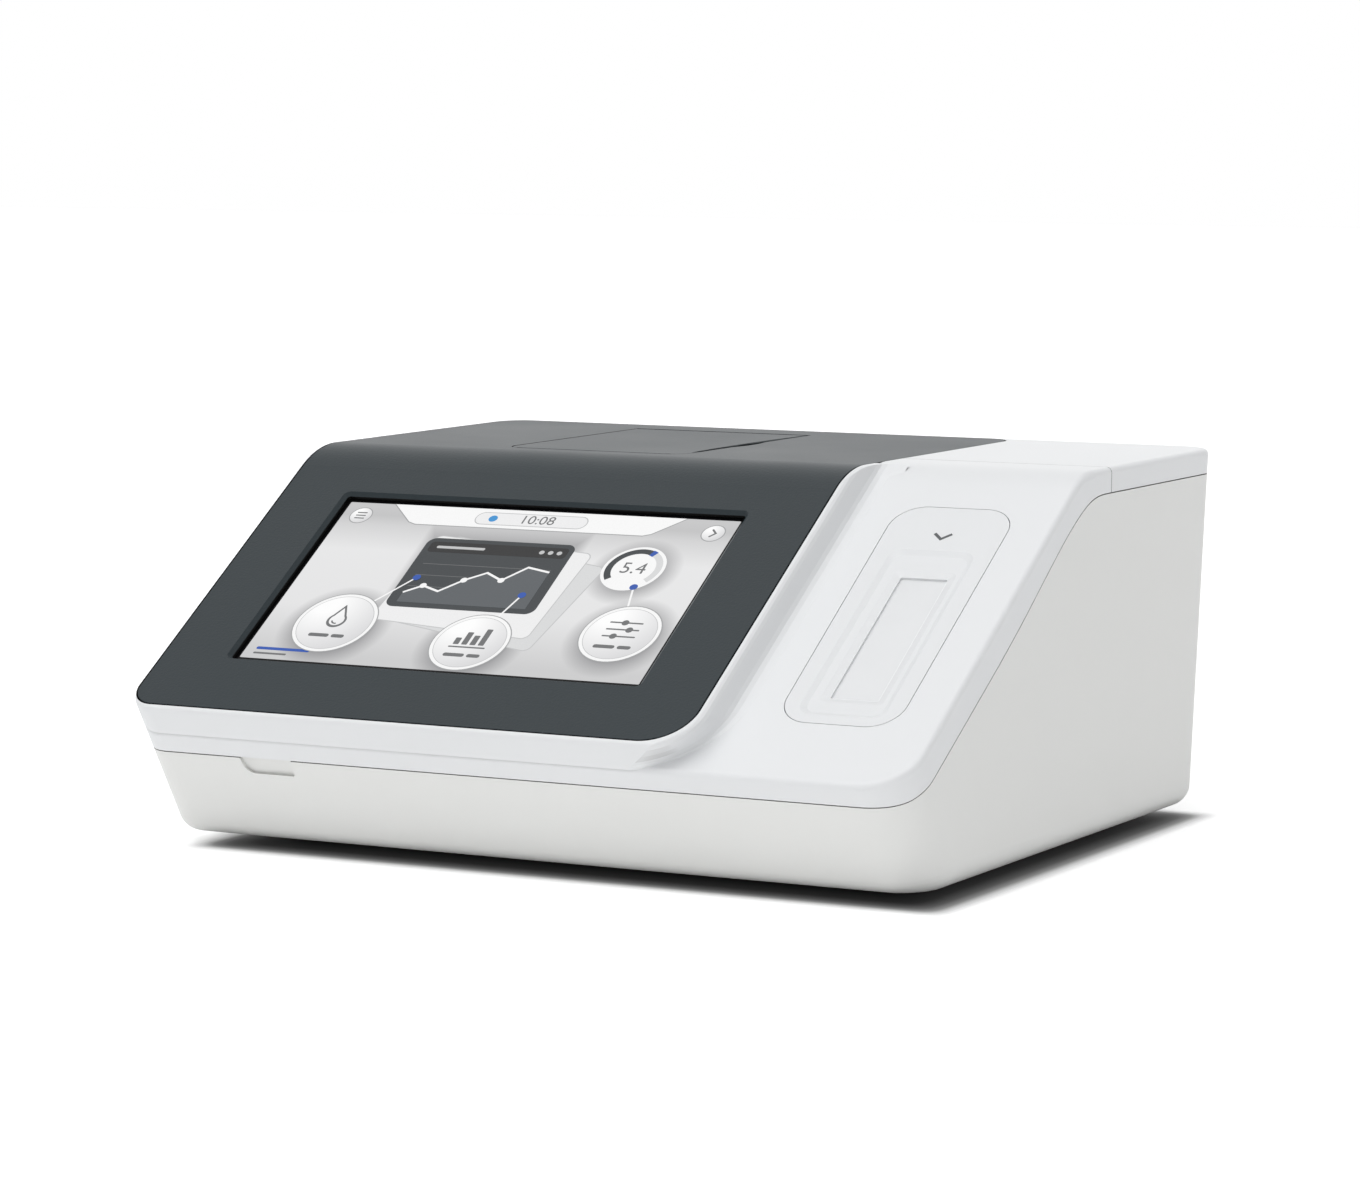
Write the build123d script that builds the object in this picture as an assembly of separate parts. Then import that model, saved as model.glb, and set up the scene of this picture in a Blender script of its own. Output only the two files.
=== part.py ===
from build123d import *
import os
from math import cos, pi, radians, sin, sqrt, tan

# Glycated hemoglobin analyzer, bench-top unit, in millimetres.
# +X is to the right seen from the front, +Y to the rear, +Z up.
# The origin is on the table, under the middle of the housing.

os.makedirs("parts", exist_ok=True)

# Housing envelope. The width follows from the display with a margin on each
# side and from the wing beside it.
glass_width = 165.0
glass_height = 100.0
left_margin = 23.75
right_margin = 23.05
wing_width = 77.2
half_width = (left_margin + glass_width + right_margin + wing_width) / 2
top_z = 129.0
foot_gap = 4.0
side_draft = 0.7
rear_y = 129.0
rear_draft = 5.1
nose_y = -129.36
incline_rise = 79.1
nose_z = top_z - incline_rise
front_undercut = 30.7
incline_angle = 33.2
wing_drop = 10.2
cover_knee_r = 40.0
wing_knee_r = 30.0
wall = 2.6
front_left_r = 11.0
front_right_r = 18.0
rear_corner_r = 13.0
bottom_r = 8.0
rim_r = 2.0

# Where the incline would meet the roof, on the display side and on the wing
incline_run = incline_rise / tan(radians(incline_angle))
knee_y = nose_y + incline_run
wing_knee_y = knee_y + wing_drop / sin(radians(incline_angle))

# Cuts and sweeps run this far, past the housing on every side
beyond = 400.0

# Step between the raised display side and the wing: depth below the display
# plane, sideways position of the flank, and corner radius at that depth
flank_x = half_width - wing_width
flank_stations = [
    (-0.15, -1.0, 16.5),
    (0.05, 0.0, 17.2),
    (0.35, 0.9, 18.0),
    (1.0, 1.7, 18.8),
    (2.2, 2.3, 20.0),
    (5.0, 2.9, 24.0),
    (7.5, 3.5, 28.0),
    (8.9, 4.3, 30.5),
    (9.7, 5.7, 33.0),
    (10.2, 8.2, 36.0),
    (10.7, 12.7, 41.0),
]
flank_front_v = -0.9

# Hollow behind the flank: its own front corner keeps the wall thick there
hollow_shift = 0.3
hollow_corner_r = 28.3
hollow_corner_v = 0.9

# Parting lines
seam_gap = 0.35
seam_front_z = nose_z - 16.0
seam_start_y = nose_y + 13.76
seam_low = (wing_knee_y - 9.05, top_z - 20.9)
seam_rear_z = top_z - 8.6
seam_shoulder_y = wing_knee_y + 3.95
seam_start_r = 20.0
seam_shoulder_r = 9.0
short_seam_y = wing_knee_y + 22.55
lip_height = 3.0
lip_thickness = 1.2
lip_clearance = 0.15

# Display cover
cover_left = -half_width + 1.9
cover_right = flank_x - 0.4
cover_bottom = 2.1
cover_rear_y = rear_y - 3.2
cover_t = 2.4
cover_gap = 0.4
cover_left_r = 9.0
cover_right_r = 16.0
cover_rear_r = 10.0
cover_edge_r = 0.5
cover_floor_gap = 0.3
ledge_t = 2.2
ledge_in = 6.0
ledge_out = 3.0
ledge_clearance = 0.1

# Display stack, measured along the incline and square to it
glass_lap_x = 4.35
glass_lap_v = 5.6
screen_width = glass_width - 2 * glass_lap_x
screen_height = glass_height - 2 * glass_lap_v
screen_left = -half_width + left_margin + glass_lap_x
screen_bottom = 28.8
screen_chamfer = 1.4
screen_chamfer_depth = 1.2
screen_corner_r = 1.2
glass_t = 0.7
glass_depth = 2.5
glass_corner_r = 2.0
panel_t = 5.6
panel_rim = 6.0
panel_recess = 1.2
bracket_t = 1.2
bracket_edge = 1.0
bracket_bar = 14.0
bracket_corner_r = 4.0
boss_r = 3.2
boss_gap = 1.8
boss_inset_v = 12.0
boss_bore_depth = 6.0
screw_r = 1.2
screw_head_r = 2.3
screw_head_t = 1.6

# Lid over the cartridge compartment
lid_offset_x = -4.25
lid_width = 71.0
lid_left = screen_left + screen_width / 2 + lid_offset_x - lid_width / 2
lid_right = lid_left + lid_width
lid_front_y = knee_y + 20.0
lid_rear_y = cover_rear_y - 16.8
lid_gap = 0.45
lid_t = 2.4
lid_front_r = 8.0
lid_edge_r = 0.5
barrel_r = 1.6
hinge_pin_r = 0.8
hinge_pin_len = 8.0
pin_clearance = 0.05
pin_end_gap = 0.5
hinge_boss_len = 5.0
hinge_boss_drop = 5.5
hinge_boss_half = 2.8
finger_gap_len = 26.0
finger_gap_depth = 1.6
finger_gap_z = 9.0
lid_rib_h = 1.4
lid_rib_t = 2.0
lid_rib_inset = 9.0

# Compartment well under the lid
well_wall = 1.6
well_floor_z = top_z - 18.5
well_flange = 4.0
well_ledge = 2.5
well_corner_r = 5.0
well_floor_r = 2.0
well_slot_half_y = 27.0
well_slot_half_x = 13.0
well_slot_r = 4.0
well_rear_gap = 3.0
lid_switch_x = 13.0
lid_switch_y = 5.5
lid_switch_z = 6.6
lid_switch_drop = 2.4
lever_t = 0.6

# Cartridge holder and its drive
rotor_y = (lid_front_y + lid_rear_y) / 2 - 0.26
rotor_z = top_z - 57.0
rotor_r = 36.0
rotor_width = 22.0
rotor_edge_r = 1.0
pocket_width = 14.0
pocket_length = 42.0
pocket_floor = 18.0
shaft_r = 3.0
bush_r = 5.0
bush_len = 6.0
bush_flange_r = 7.0
bush_flange_t = 1.0
shaft_clearance = 0.05
gear_module = 1.0
gear_teeth = 60
pinion_teeth = 15
gear_face = 5.0
pinion_face = 6.5
pressure_angle = 20.0
dedendum = 1.25
tooth_share = 0.47
mesh_clearance = 0.2
drive_angle = -45.0
gear_x = (lid_left + lid_right) / 2 + 14.3
gear_window_r = 6.0
gear_window_place = 19.0
gear_window_count = 5
hub_r = 6.4
hub_len = 3.0
shaft_end_gap = 0.3
sight_rise = 4.5
sight_r = 3.0
lightening_count = 4
lightening_r = 3.6
lightening_place = 27.0
lightening_pitch = 34.0
frame_half_gap = 21.0
frame_t = 2.0
frame_front_y = rotor_y - 38.0
frame_rear_y = rotor_y + 46.0
frame_shoulder_z = rotor_z - 6.0
frame_top_z = rotor_z + 24.0
frame_top_half = 22.0
frame_shoulder_r = 8.0
frame_top_r = 10.0
frame_window_r = 12.0
frame_window_shift = 4.0
pilot_clearance = 0.1
motor_size = 35.0
motor_len = 27.0
motor_edge = 3.0
motor_shaft_r = 2.5
motor_shaft_depth = 12.0
motor_pilot_r = 10.9
motor_hole = 13.0
heater_gap = 0.8
heater_t = 7.0
heater_half_angle = 38.0
heater_leg = 26.0
heater_inset = 1.0
lamp_r = 5.0
lamp_len = 12.0
optic_gap = 1.0
lamp_bore = 4.0
detector_gap = 0.6
sensor_y = -19.5
sensor_width = 9.0
sensor_height = 6.0

# Scan port in the wing
port_left = flank_x + 19.3
port_width = wing_width - 35.2
port_bottom = 28.0
port_height = 110.4
port_taper = 0.6
port_corner_r = 11.0
port_gap = 0.3
port_t = 2.4
port_ledge_t = 1.8
port_ledge_in = 3.4
port_ledge_out = 3.0
port_seat_gap = 0.05
dish_width = port_width - 11.2
dish_height = 84.0
dish_v = 74.0
dish_depth = 0.9
dish_slope = 1.9
dish_r = 5.0
inner_width = dish_width - 8.4
inner_height = 66.8
inner_depth = 1.7
inner_r = 2.0
inner_floor_rim = 0.8
window_width = inner_width - 5.6
window_height = inner_height - 5.4
window_shift = 0.8
window_center_v = 72.8
window_t = 1.2
window_lap = 2.0
window_edge_r = 0.6

# Code reader behind the window
scanner_depth = 30.0
scanner_span_x = port_width + 2.0
scanner_span_v = 44.0
scanner_margin = 9.0
scanner_slot_width = 18.0
scanner_slot_height = 7.0
scanner_width = 30.0
scanner_length = 26.0
scanner_h = 12.0
scanner_corner_r = 2.0
post_bore_depth = 8.0
barrel_outer_r = 6.0
barrel_inner_r = 4.6
barrel_len = 4.0
lens_r = 8.0
lens_edge_r = 4.5
lens_t = 1.6
lens_rim_t = 0.2
lens_seat = 2.8

# Rear side
io_face_y = rear_y - 10.0
io_hole_gap = 0.4
io_hole_r = 0.6
rear_cut_depth = 8.0
usb_width = 14.0
usb_height = 6.6
usb_len = 18.0
usb_metal = 0.5
usb_depth = 12.0
usb_tongue_width = 11.2
usb_tongue_t = 1.8
usb_tongue_inset = 1.5
usb_tongue_rise = 0.2
lan_width = 16.0
lan_height = 13.4
lan_len = 16.0
lan_depth = 12.0
lan_mouth = (11.8, 3.4, 11.0)
lan_latch = (6.4, 1.6, 3.5)
inlet_size = 11.0
inlet_len = 14.0
inlet_barrel_len = 3.0
inlet_mouth_r = 3.1
inlet_pin_r = 1.05
inlet_depth = 10.0
switch_z = 36.0
switch_body_x = 13.0
switch_body_z = 19.0
switch_gap = 0.3
switch_corner_r = 0.8
switch_rim = 1.5
switch_rim_t = 1.4
switch_depth = 15.0
rocker_x = 9.6
rocker_z = 15.6
rocker_gap = 0.42
rocker_edge = 1.2
rocker_horn = 1.9
rocker_dip = 1.0
rocker_skirt = 2.1
rocker_end_gap = 0.3
rocker_room = 9.8
rocker_pin_r = 1.0
rocker_pin_len = 1.2
rocker_tilt = 8.0
fan_size = 40.0
fan_t = 10.0
fan_hub_r = 8.5
fan_blades = 7
fan_bore_r = 18.6
fan_shaft_r = 1.0
fan_hole_pitch = 32.0
fan_hole_r = 1.75
fan_strut = 2.4
fan_strut_t = 1.6
fan_corner_r = 3.0
fan_post_inset = 1.2
fan_rotor_gap = 0.5
fan_hub_gap = 0.2
fan_cup_t = 0.4
fan_blade_root = 0.6
fan_tip_gap = 0.6
fan_blade_t = 0.9
fan_root_chord = 6.4
fan_tip_chord = 8.4
fan_root_pitch = 42.0
fan_tip_pitch = 30.0
fan_x = half_width - 52.5
fan_z = top_z - 51.0
fan_seat_y = rear_y - 10.5
fan_seat_half = fan_size / 2 + 2.0
fan_seat_gap = 0.6
grille_pitch = 5.2
grille_slot = 2.8
grille_end = 2.0

# Chassis and boards
chassis_t = 1.2
chassis_boss_h = 2.4
chassis_boss_r = 4.0
chassis_half_x = half_width - 22.5
chassis_front_y = nose_y + 45.36
chassis_rear_y = rear_y - 19.0
chassis_hole_x = chassis_half_x - 10.0
chassis_hole_inset = 10.0
chassis_corner_r = 8.0
board_t = 1.6
board_standoff_h = 5.0
standoff_r = 3.2
standoff_inset = 5.0
main_board_right = half_width - 28.5
main_board_left = main_board_right - 105.0
main_board_front = nose_y + 59.36
main_board_rear = rear_y - 17.0
power_board_left = -half_width + 24.5
power_board_right = power_board_left + 44.0
power_board_front = nose_y + 79.36
power_board_rear = rear_y - 17.0
usb_places = (main_board_left + 25.0, main_board_left + 43.0)
lan_x = main_board_left + 65.0
inlet_x = power_board_left + 8.0
switch_x = power_board_right - 12.0
ribbon_x = main_board_left + 14.0
ribbon_width = 20.0
ribbon_y = main_board_front + 26.0
ribbon_v = 52.0
ribbon_t = 0.5
ribbon_out = 14.0
ribbon_rise = 18.5
ribbon_high_r = 6.0
ribbon_low_r = 8.0
ribbon_socket_h = 5.5
ribbon_socket_y = 5.0
floor_slot_count = 8
floor_slot_pitch = 6.0
floor_slot_x = power_board_left + 2.0
floor_slot_y = power_board_front + 30.0
floor_slot_length = 34.0
floor_slot_width = 2.6

# Larger parts on the boards: offset from the board's middle, distance from its
# front edge, width, length and height
processor = (0, 90, 24, 24, 2.2)
processor_fin = (-9, 90, 1.2, 20, 7.0)
processor_fins = 7
processor_fin_pitch = 3.0
memory_chips = [(26, 94, 12, 18, 1.4), (26, 66, 12, 18, 1.4)]
driver_chip = (-28, 50, 16, 16, 1.8)
plug_header = (10, 30, 20, 8, 6.0)
main_board_chips = [processor, driver_chip, plug_header] + memory_chips
main_capacitor = (-36, 120, 3.5, 9.0)
main_capacitors = 4
main_capacitor_pitch = 10.0
choke = (0, 78, 22, 20, 15.0)
sink_base = (0, 42, 34, 3, 3.0)
sink_fin = (-15, 42, 1.4, 22, 20.0)
sink_fins = 6
sink_fin_pitch = 6.0
power_capacitor = (-12, 106, 4.8, 16.0)
power_capacitors = 3
power_capacitor_pitch = 12.0

# Finger notch under the front parting line
notch_left = -half_width + 42.2
notch_right = notch_left + 18.8
notch_height = 5.5
notch_depth = 1.3
notch_rise = 2.0
notch_lean = 1.5
notch_left_r = 4.0
notch_right_r = 0.8

# Feet and fasteners
screw_well_r = 3.4
screw_head_z = 14.0
screw_grip = 14.0
foot_r = 9.0
foot_pad_h = 4.6
foot_edge_r = 1.2
foot_inset_x = 38.0
foot_front_y = nose_y + 61.36
foot_rear_y = rear_y - 37.0
post_x = half_width - 10.0
post_front_y = nose_y + 49.36
post_rear_y = rear_y - 23.0
post_r = 4.5
post_split_z = 20.0
case_screw_r = 1.5
case_head_t = 2.2
chassis_head_r = 2.8
chassis_head_t = 1.8
screw_clearance = 0.2
foot_clearance = 0.1
post_gap = 0.1
post_bore_spare = 1.0

# Overlap that joins two forms of one piece, and reach of a cut past a surface
fuse = 0.05
flush_cut = 0.02

# Directions of the main planes in the Y-Z plane
undercut = radians(front_undercut)
incline = radians(incline_angle)
incline_normal = (0, -sin(incline), cos(incline))


def outline_lines(drop, inset):
    """Front, incline, roof, rear and floor lines as a*y + b*z = c."""
    back = radians(rear_draft)
    front = (-cos(undercut), -sin(undercut), -cos(undercut) * nose_y - sin(undercut) * nose_z - inset)
    slope_c = -sin(incline) * nose_y + cos(incline) * nose_z - drop - inset
    slope = (-sin(incline), cos(incline), slope_c)
    roof = (0, 1, top_z - inset)
    rear = (cos(back), -sin(back), cos(back) * rear_y - sin(back) * top_z - inset)
    floor = (0, -1, -foot_gap - inset)
    return front, slope, roof, rear, floor


def meet(first, second):
    """Crossing point of two lines."""
    det = first[0] * second[1] - first[1] * second[0]
    y = (first[2] * second[1] - first[1] * second[2]) / det
    z = (first[0] * second[2] - first[2] * second[0]) / det
    return y, z


def side_prism(drop, inset, knee_r):
    """Side profile of the housing swept across its width."""
    front, slope, roof, rear, floor = outline_lines(drop, inset)
    points = [meet(floor, front), meet(front, slope), meet(slope, roof), meet(roof, rear), meet(rear, floor)]
    outline = FilletPolyline(*points, radius=[0, 0, knee_r - inset, 0, 0], close=True)
    return extrude(Plane.YZ * make_face(outline), amount=beyond, both=True)


def skin_layer(from_depth, to_depth, drop=0.0, knee_r=cover_knee_r):
    """Layer that follows incline and roof between two depths."""
    points = []
    radii = []
    for depth, order in ((from_depth, 1), (to_depth, -1)):
        slope, roof = outline_lines(drop, depth)[1:3]
        knee = meet(slope, roof)
        start = (knee[0] - beyond * cos(incline), knee[1] - beyond * sin(incline))
        points += [start, knee, (beyond, knee[1])][::order]
        radii += [0, knee_r - depth, 0]
    outline = FilletPolyline(*points, radius=radii, close=True)
    return extrude(Plane.YZ * make_face(outline), amount=beyond, both=True)


def draft_prism(inset):
    """Front view of the housing with its drafted sides, swept front to rear."""
    high_z = 2 * top_z
    low_x = half_width - inset - top_z * tan(radians(side_draft))
    high_x = half_width - inset + (high_z - top_z) * tan(radians(side_draft))
    outline = Polyline((-low_x, 0), (low_x, 0), (high_x, high_z), (-high_x, high_z), close=True)
    return extrude(Plane.XZ * make_face(outline), amount=beyond, both=True)


def lies_on(edge, line):
    """True when the whole edge lies in the plane that the line stands for."""
    spots = [edge @ t for t in (0, 0.5, 1)]
    return all(abs(line[0] * p.Y + line[1] * p.Z - line[2]) < 1e-3 for p in spots)


def corner_edges(body, line):
    """Upright edges between the sides and the front or rear plane."""
    found = [e for e in body.edges() if lies_on(e, line)]
    return [e for e in found if abs((e @ 0.5).X) > 0.9 * half_width and abs((e @ 0).Z - (e @ 1).Z) > rim_r]


def rim_edges(body):
    """Edges round the incline, the knee and the roof."""
    roof_faces = [f for f in body.faces() if f.normal_at(f.center()).Z > 0.5]
    edges = [e for f in roof_faces for e in f.edges()]
    return [e for e in edges if sum(e.is_same(other) for other in edges) == 1]


def housing_block(drop, inset, knee_r):
    """One level of the housing as a solid, with its upright corners rounded."""
    front = outline_lines(drop, inset)[0]
    rear = outline_lines(drop, inset)[3]
    body = side_prism(drop, inset, knee_r) & draft_prism(inset)
    corners = corner_edges(body, front)
    body = fillet([e for e in corners if (e @ 0.5).X < 0], front_left_r - inset)
    corners = corner_edges(body, front)
    body = fillet([e for e in corners if (e @ 0.5).X > 0], front_right_r - inset)
    return fillet(corner_edges(body, rear), rear_corner_r - inset)


def outer_block(drop, knee_r):
    """Outside of one level, with bottom and rim rounded too."""
    floor = outline_lines(drop, 0)[4]
    body = housing_block(drop, 0, knee_r)
    body = fillet([e for e in body.edges() if lies_on(e, floor)], bottom_r)
    return fillet(rim_edges(body), rim_r)


def incline_plane(depth=0.0, drop=0.0):
    """Plane parallel to the incline; x runs across, y up the slope, z outwards."""
    front, slope = outline_lines(drop, 0)[:2]
    y, z = meet(front, slope)
    origin = (0, y - depth * incline_normal[1], z - depth * incline_normal[2])
    return Plane(origin=origin, x_dir=(1, 0, 0), z_dir=incline_normal)


def wing_plane(depth=0.0):
    """Same as incline_plane, on the lower wing."""
    return incline_plane(depth, wing_drop)


def raised_plate():
    """Slab that gives the raised display side its curved flank and front corner."""
    lean = tan(incline - undercut)
    outlines = []
    for depth, reach, corner in reversed(flank_stations):
        front_v = flank_front_v - lean * depth
        right = flank_x + reach
        points = [(-beyond, front_v), (right, front_v), (right, beyond), (-beyond, beyond)]
        face = make_face(FilletPolyline(*points, radius=[0, corner, 0, 0], close=True))
        outlines.append(incline_plane(depth) * face)
    return loft(outlines, ruled=True)


def housing_outside():
    """The whole outside: the wing level joined to the raised display side."""
    return outer_block(wing_drop, wing_knee_r) + (outer_block(0, cover_knee_r) & raised_plate())


def housing_inside(inset):
    """Hollow of the housing at a given depth below its outside."""
    low = housing_block(wing_drop, inset, wing_knee_r)
    high = housing_block(0, inset, cover_knee_r)
    right = flank_x + hollow_shift + wall - inset
    points = [(-beyond, hollow_corner_v), (right, hollow_corner_v), (right, beyond), (-beyond, beyond)]
    face = make_face(FilletPolyline(*points, radius=[0, hollow_corner_r, 0, 0], close=True))
    return low + (high & extrude(incline_plane() * face, amount=top_z / 2, both=True))


def seam_region(shift):
    """Everything below the parting line moved up by shift."""
    points = [
        (-beyond, seam_front_z + shift),
        (seam_start_y, seam_front_z + shift),
        (seam_low[0], seam_low[1] + shift),
        (seam_shoulder_y, seam_rear_z + shift),
        (beyond, seam_rear_z + shift),
        (beyond, -beyond),
        (-beyond, -beyond),
    ]
    radii = [0, seam_start_r, 0, seam_shoulder_r, 0, 0, 0]
    outline = FilletPolyline(*points, radius=radii, close=True)
    return extrude(Plane.YZ * make_face(outline), amount=beyond, both=True)


def cover_outline(grow):
    """Footprint of the display cover: along the incline, then along the roof."""
    knee_v = incline_rise / sin(incline)
    left = cover_left - grow
    right = cover_right + grow
    low = cover_bottom - grow
    slope_points = [(left, low), (right, low), (right, knee_v), (left, knee_v)]
    slope_radii = [cover_left_r + grow, cover_right_r + grow, 0, 0]
    slope_face = make_face(FilletPolyline(*slope_points, radius=slope_radii, close=True))
    lower = extrude(incline_plane() * slope_face, amount=wall + stack_depth, both=True)
    rear = cover_rear_y + grow
    roof_points = [(left, knee_y), (right, knee_y), (right, rear), (left, rear)]
    roof_radii = [0, 0, cover_rear_r + grow, cover_rear_r + grow]
    roof_face = make_face(FilletPolyline(*roof_points, radius=roof_radii, close=True))
    upper = extrude(Plane.XY.offset(top_z) * roof_face, amount=wall + stack_depth, both=True)
    return lower + upper


def incline_rod(x, v, radius, top_depth, length, drop=0.0):
    """Cylinder square to the incline, its outer end at top_depth."""
    return extrude(incline_plane(top_depth, drop) * (Pos(x, v) * Circle(radius)), amount=-length)


def x_rod(y, z, radius, x_from, x_to):
    """Cylinder along X."""
    return extrude(Plane.YZ.offset(x_from) * (Pos(y, z) * Circle(radius)), amount=x_to - x_from)


def y_rod(x, z, radius, y_from, y_to):
    """Cylinder along Y."""
    face = Plane(origin=(x, y_from, z), x_dir=(1, 0, 0), z_dir=(0, 1, 0)) * Circle(radius)
    return extrude(face, amount=y_to - y_from)


def z_rod(x, y, radius, z_from, z_to):
    """Cylinder along Z."""
    return extrude(Plane.XY.offset(z_from) * (Pos(x, y) * Circle(radius)), amount=z_to - z_from)


def span_box(x_from, x_to, y_from, y_to, z_from, z_to):
    """Box given by its two limits along each direction."""
    center = ((x_from + x_to) / 2, (y_from + y_to) / 2, (z_from + z_to) / 2)
    return Pos(*center) * Box(x_to - x_from, y_to - y_from, z_to - z_from)


def sunk(low_face, high_face, low_depth, high_depth, drop=0.0):
    """Recess with sloping sides between two outlines at two depths."""
    high = incline_plane(high_depth, drop) * high_face
    low = incline_plane(low_depth, drop) * low_face
    return loft([low, high], ruled=True)


def rounded_rectangle(x, v, width, height, corner):
    """Rounded rectangle about a middle."""
    face = Pos(x, v) * Rectangle(width, height)
    return fillet(face.vertices(), corner)


def corner_points(x, y, dx, dy):
    """Four points round a middle."""
    return [(x + sx * dx, y + sy * dy) for sx in (-1, 1) for sy in (-1, 1)]


# Places that several pieces share
screen_x = screen_left + screen_width / 2
screen_v = screen_bottom + screen_height / 2
stack_depth = glass_depth + glass_t + panel_t
bracket_half_x = glass_width / 2 + boss_r + boss_gap
bracket_half_v = glass_height / 2 - boss_inset_v
bracket_holes = corner_points(screen_x, screen_v, bracket_half_x, bracket_half_v)
lid_x = (lid_left + lid_right) / 2
barrel_y = lid_rear_y - barrel_r
barrel_z = top_z - barrel_r
port_x = port_left + port_width / 2
window_x = port_x + window_shift
floor_z = foot_gap + wall
chassis_z = floor_z + chassis_boss_h
deck_z = chassis_z + chassis_t
board_z = deck_z + board_standoff_h
board_top_z = board_z + board_t
case_posts = [(sx * post_x, y) for sx in (-1, 1) for y in (post_front_y, post_rear_y)]
feet = [(sx * (half_width - foot_inset_x), y) for sx in (-1, 1) for y in (foot_front_y, foot_rear_y)]
chassis_rows = (chassis_front_y + chassis_hole_inset, chassis_rear_y - chassis_hole_inset)
chassis_points = [(sx * chassis_hole_x, y) for sx in (-1, 1) for y in chassis_rows]
mesh_distance = (gear_teeth + pinion_teeth) * gear_module / 2 + mesh_clearance
pinion_y = rotor_y + mesh_distance * cos(radians(drive_angle))
pinion_z = rotor_z + mesh_distance * sin(radians(drive_angle))
frame_left = lid_x - frame_half_gap
frame_right = lid_x + frame_half_gap
rotor_left = lid_x - rotor_width / 2
rotor_right = lid_x + rotor_width / 2
sight_z = rotor_z - pocket_floor + sight_rise
main_board_x = (main_board_left + main_board_right) / 2
power_board_x = (power_board_left + power_board_right) / 2
scanner_posts = corner_points(window_x, window_center_v, scanner_span_x / 2, scanner_span_v / 2)


def rear_wall_y(z, inset=0.0):
    """Y of the rear wall at a height, inset from its outside."""
    back = radians(rear_draft)
    return rear_y - (top_z - z) * tan(back) - inset / cos(back)


def port_outline(grow):
    """Outline of the scan port bezel, a little wider at its upper end."""
    low = port_bottom - grow
    high = port_bottom + port_height + grow
    left = port_left - grow
    right = port_left + port_width + grow
    points = [(left, low), (right, low), (right + port_taper, high), (left - port_taper, high)]
    return make_face(FilletPolyline(*points, radius=[port_corner_r + grow] * 4, close=True))


def lid_outline(grow):
    """Footprint of the lid, rounded at its front corners."""
    left = lid_left - grow
    right = lid_right + grow
    radius = lid_front_r + grow
    points = [(left, lid_front_y - grow), (right, lid_front_y - grow)]
    points += [(right, lid_rear_y + grow), (left, lid_rear_y + grow)]
    return make_face(FilletPolyline(*points, radius=[radius, radius, 0, 0], close=True))


def seam_lip():
    """Tongue of the lower case that closes the parting line from within."""
    inner = housing_inside(wall + lip_clearance + lip_thickness)
    below = seam_region(-lip_height)
    low = (housing_inside(wall - fuse) - inner) & (seam_region(-seam_gap / 2) - below)
    high = (housing_inside(wall + lip_clearance) - inner) & (seam_region(lip_height) - below)
    return low + high


def finger_notch():
    """Shallow scoop under the parting line at the front left."""
    points = [(notch_left, seam_front_z - notch_height), (notch_right, seam_front_z - notch_height)]
    points += [(notch_right, seam_front_z + notch_rise), (notch_left - notch_lean, seam_front_z + notch_rise)]
    outline = make_face(FilletPolyline(*points, radius=[notch_left_r, notch_right_r, 0, 0], close=True))
    block = extrude(Plane.XZ * outline, amount=beyond)
    return block - side_prism(0, notch_depth, cover_knee_r)


def rear_cut(x, z, width, height, corner):
    """Straight rounded opening through the rear wall."""
    plane = Plane(origin=(x, io_face_y - rear_cut_depth, z), x_dir=(1, 0, 0), z_dir=(0, 1, 0))
    face = plane * fillet(Rectangle(width, height).vertices(), corner)
    return extrude(face, amount=rear_y)


def switch_plane():
    """Plane on the rear wall at the power switch; z outwards, y up the wall."""
    back = radians(rear_draft)
    origin = (switch_x, rear_wall_y(switch_z), switch_z)
    return Plane(origin=origin, x_dir=(-1, 0, 0), z_dir=(0, cos(back), -sin(back)))


def grille_slots():
    """Row of upright slots in front of the fan."""
    count = int((2 * fan_bore_r) / grille_pitch)
    cuts = []
    for n in range(count):
        x = fan_x + (n - (count - 1) / 2) * grille_pitch
        height = 2 * sqrt(fan_bore_r ** 2 - (x - fan_x) ** 2) - grille_end
        cuts.append(rear_cut(x, fan_z, grille_slot, height, grille_slot / 2 - fuse))
    return cuts


def floor_slots():
    """Air inlet slots in the floor under the power board."""
    cuts = []
    for n in range(floor_slot_count):
        x = floor_slot_x + n * floor_slot_pitch
        face = Pos(x, floor_slot_y) * SlotOverall(floor_slot_length, floor_slot_width, rotation=90)
        cuts.append(extrude(Plane.XY * face, amount=floor_z + wall))
    return cuts


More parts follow.
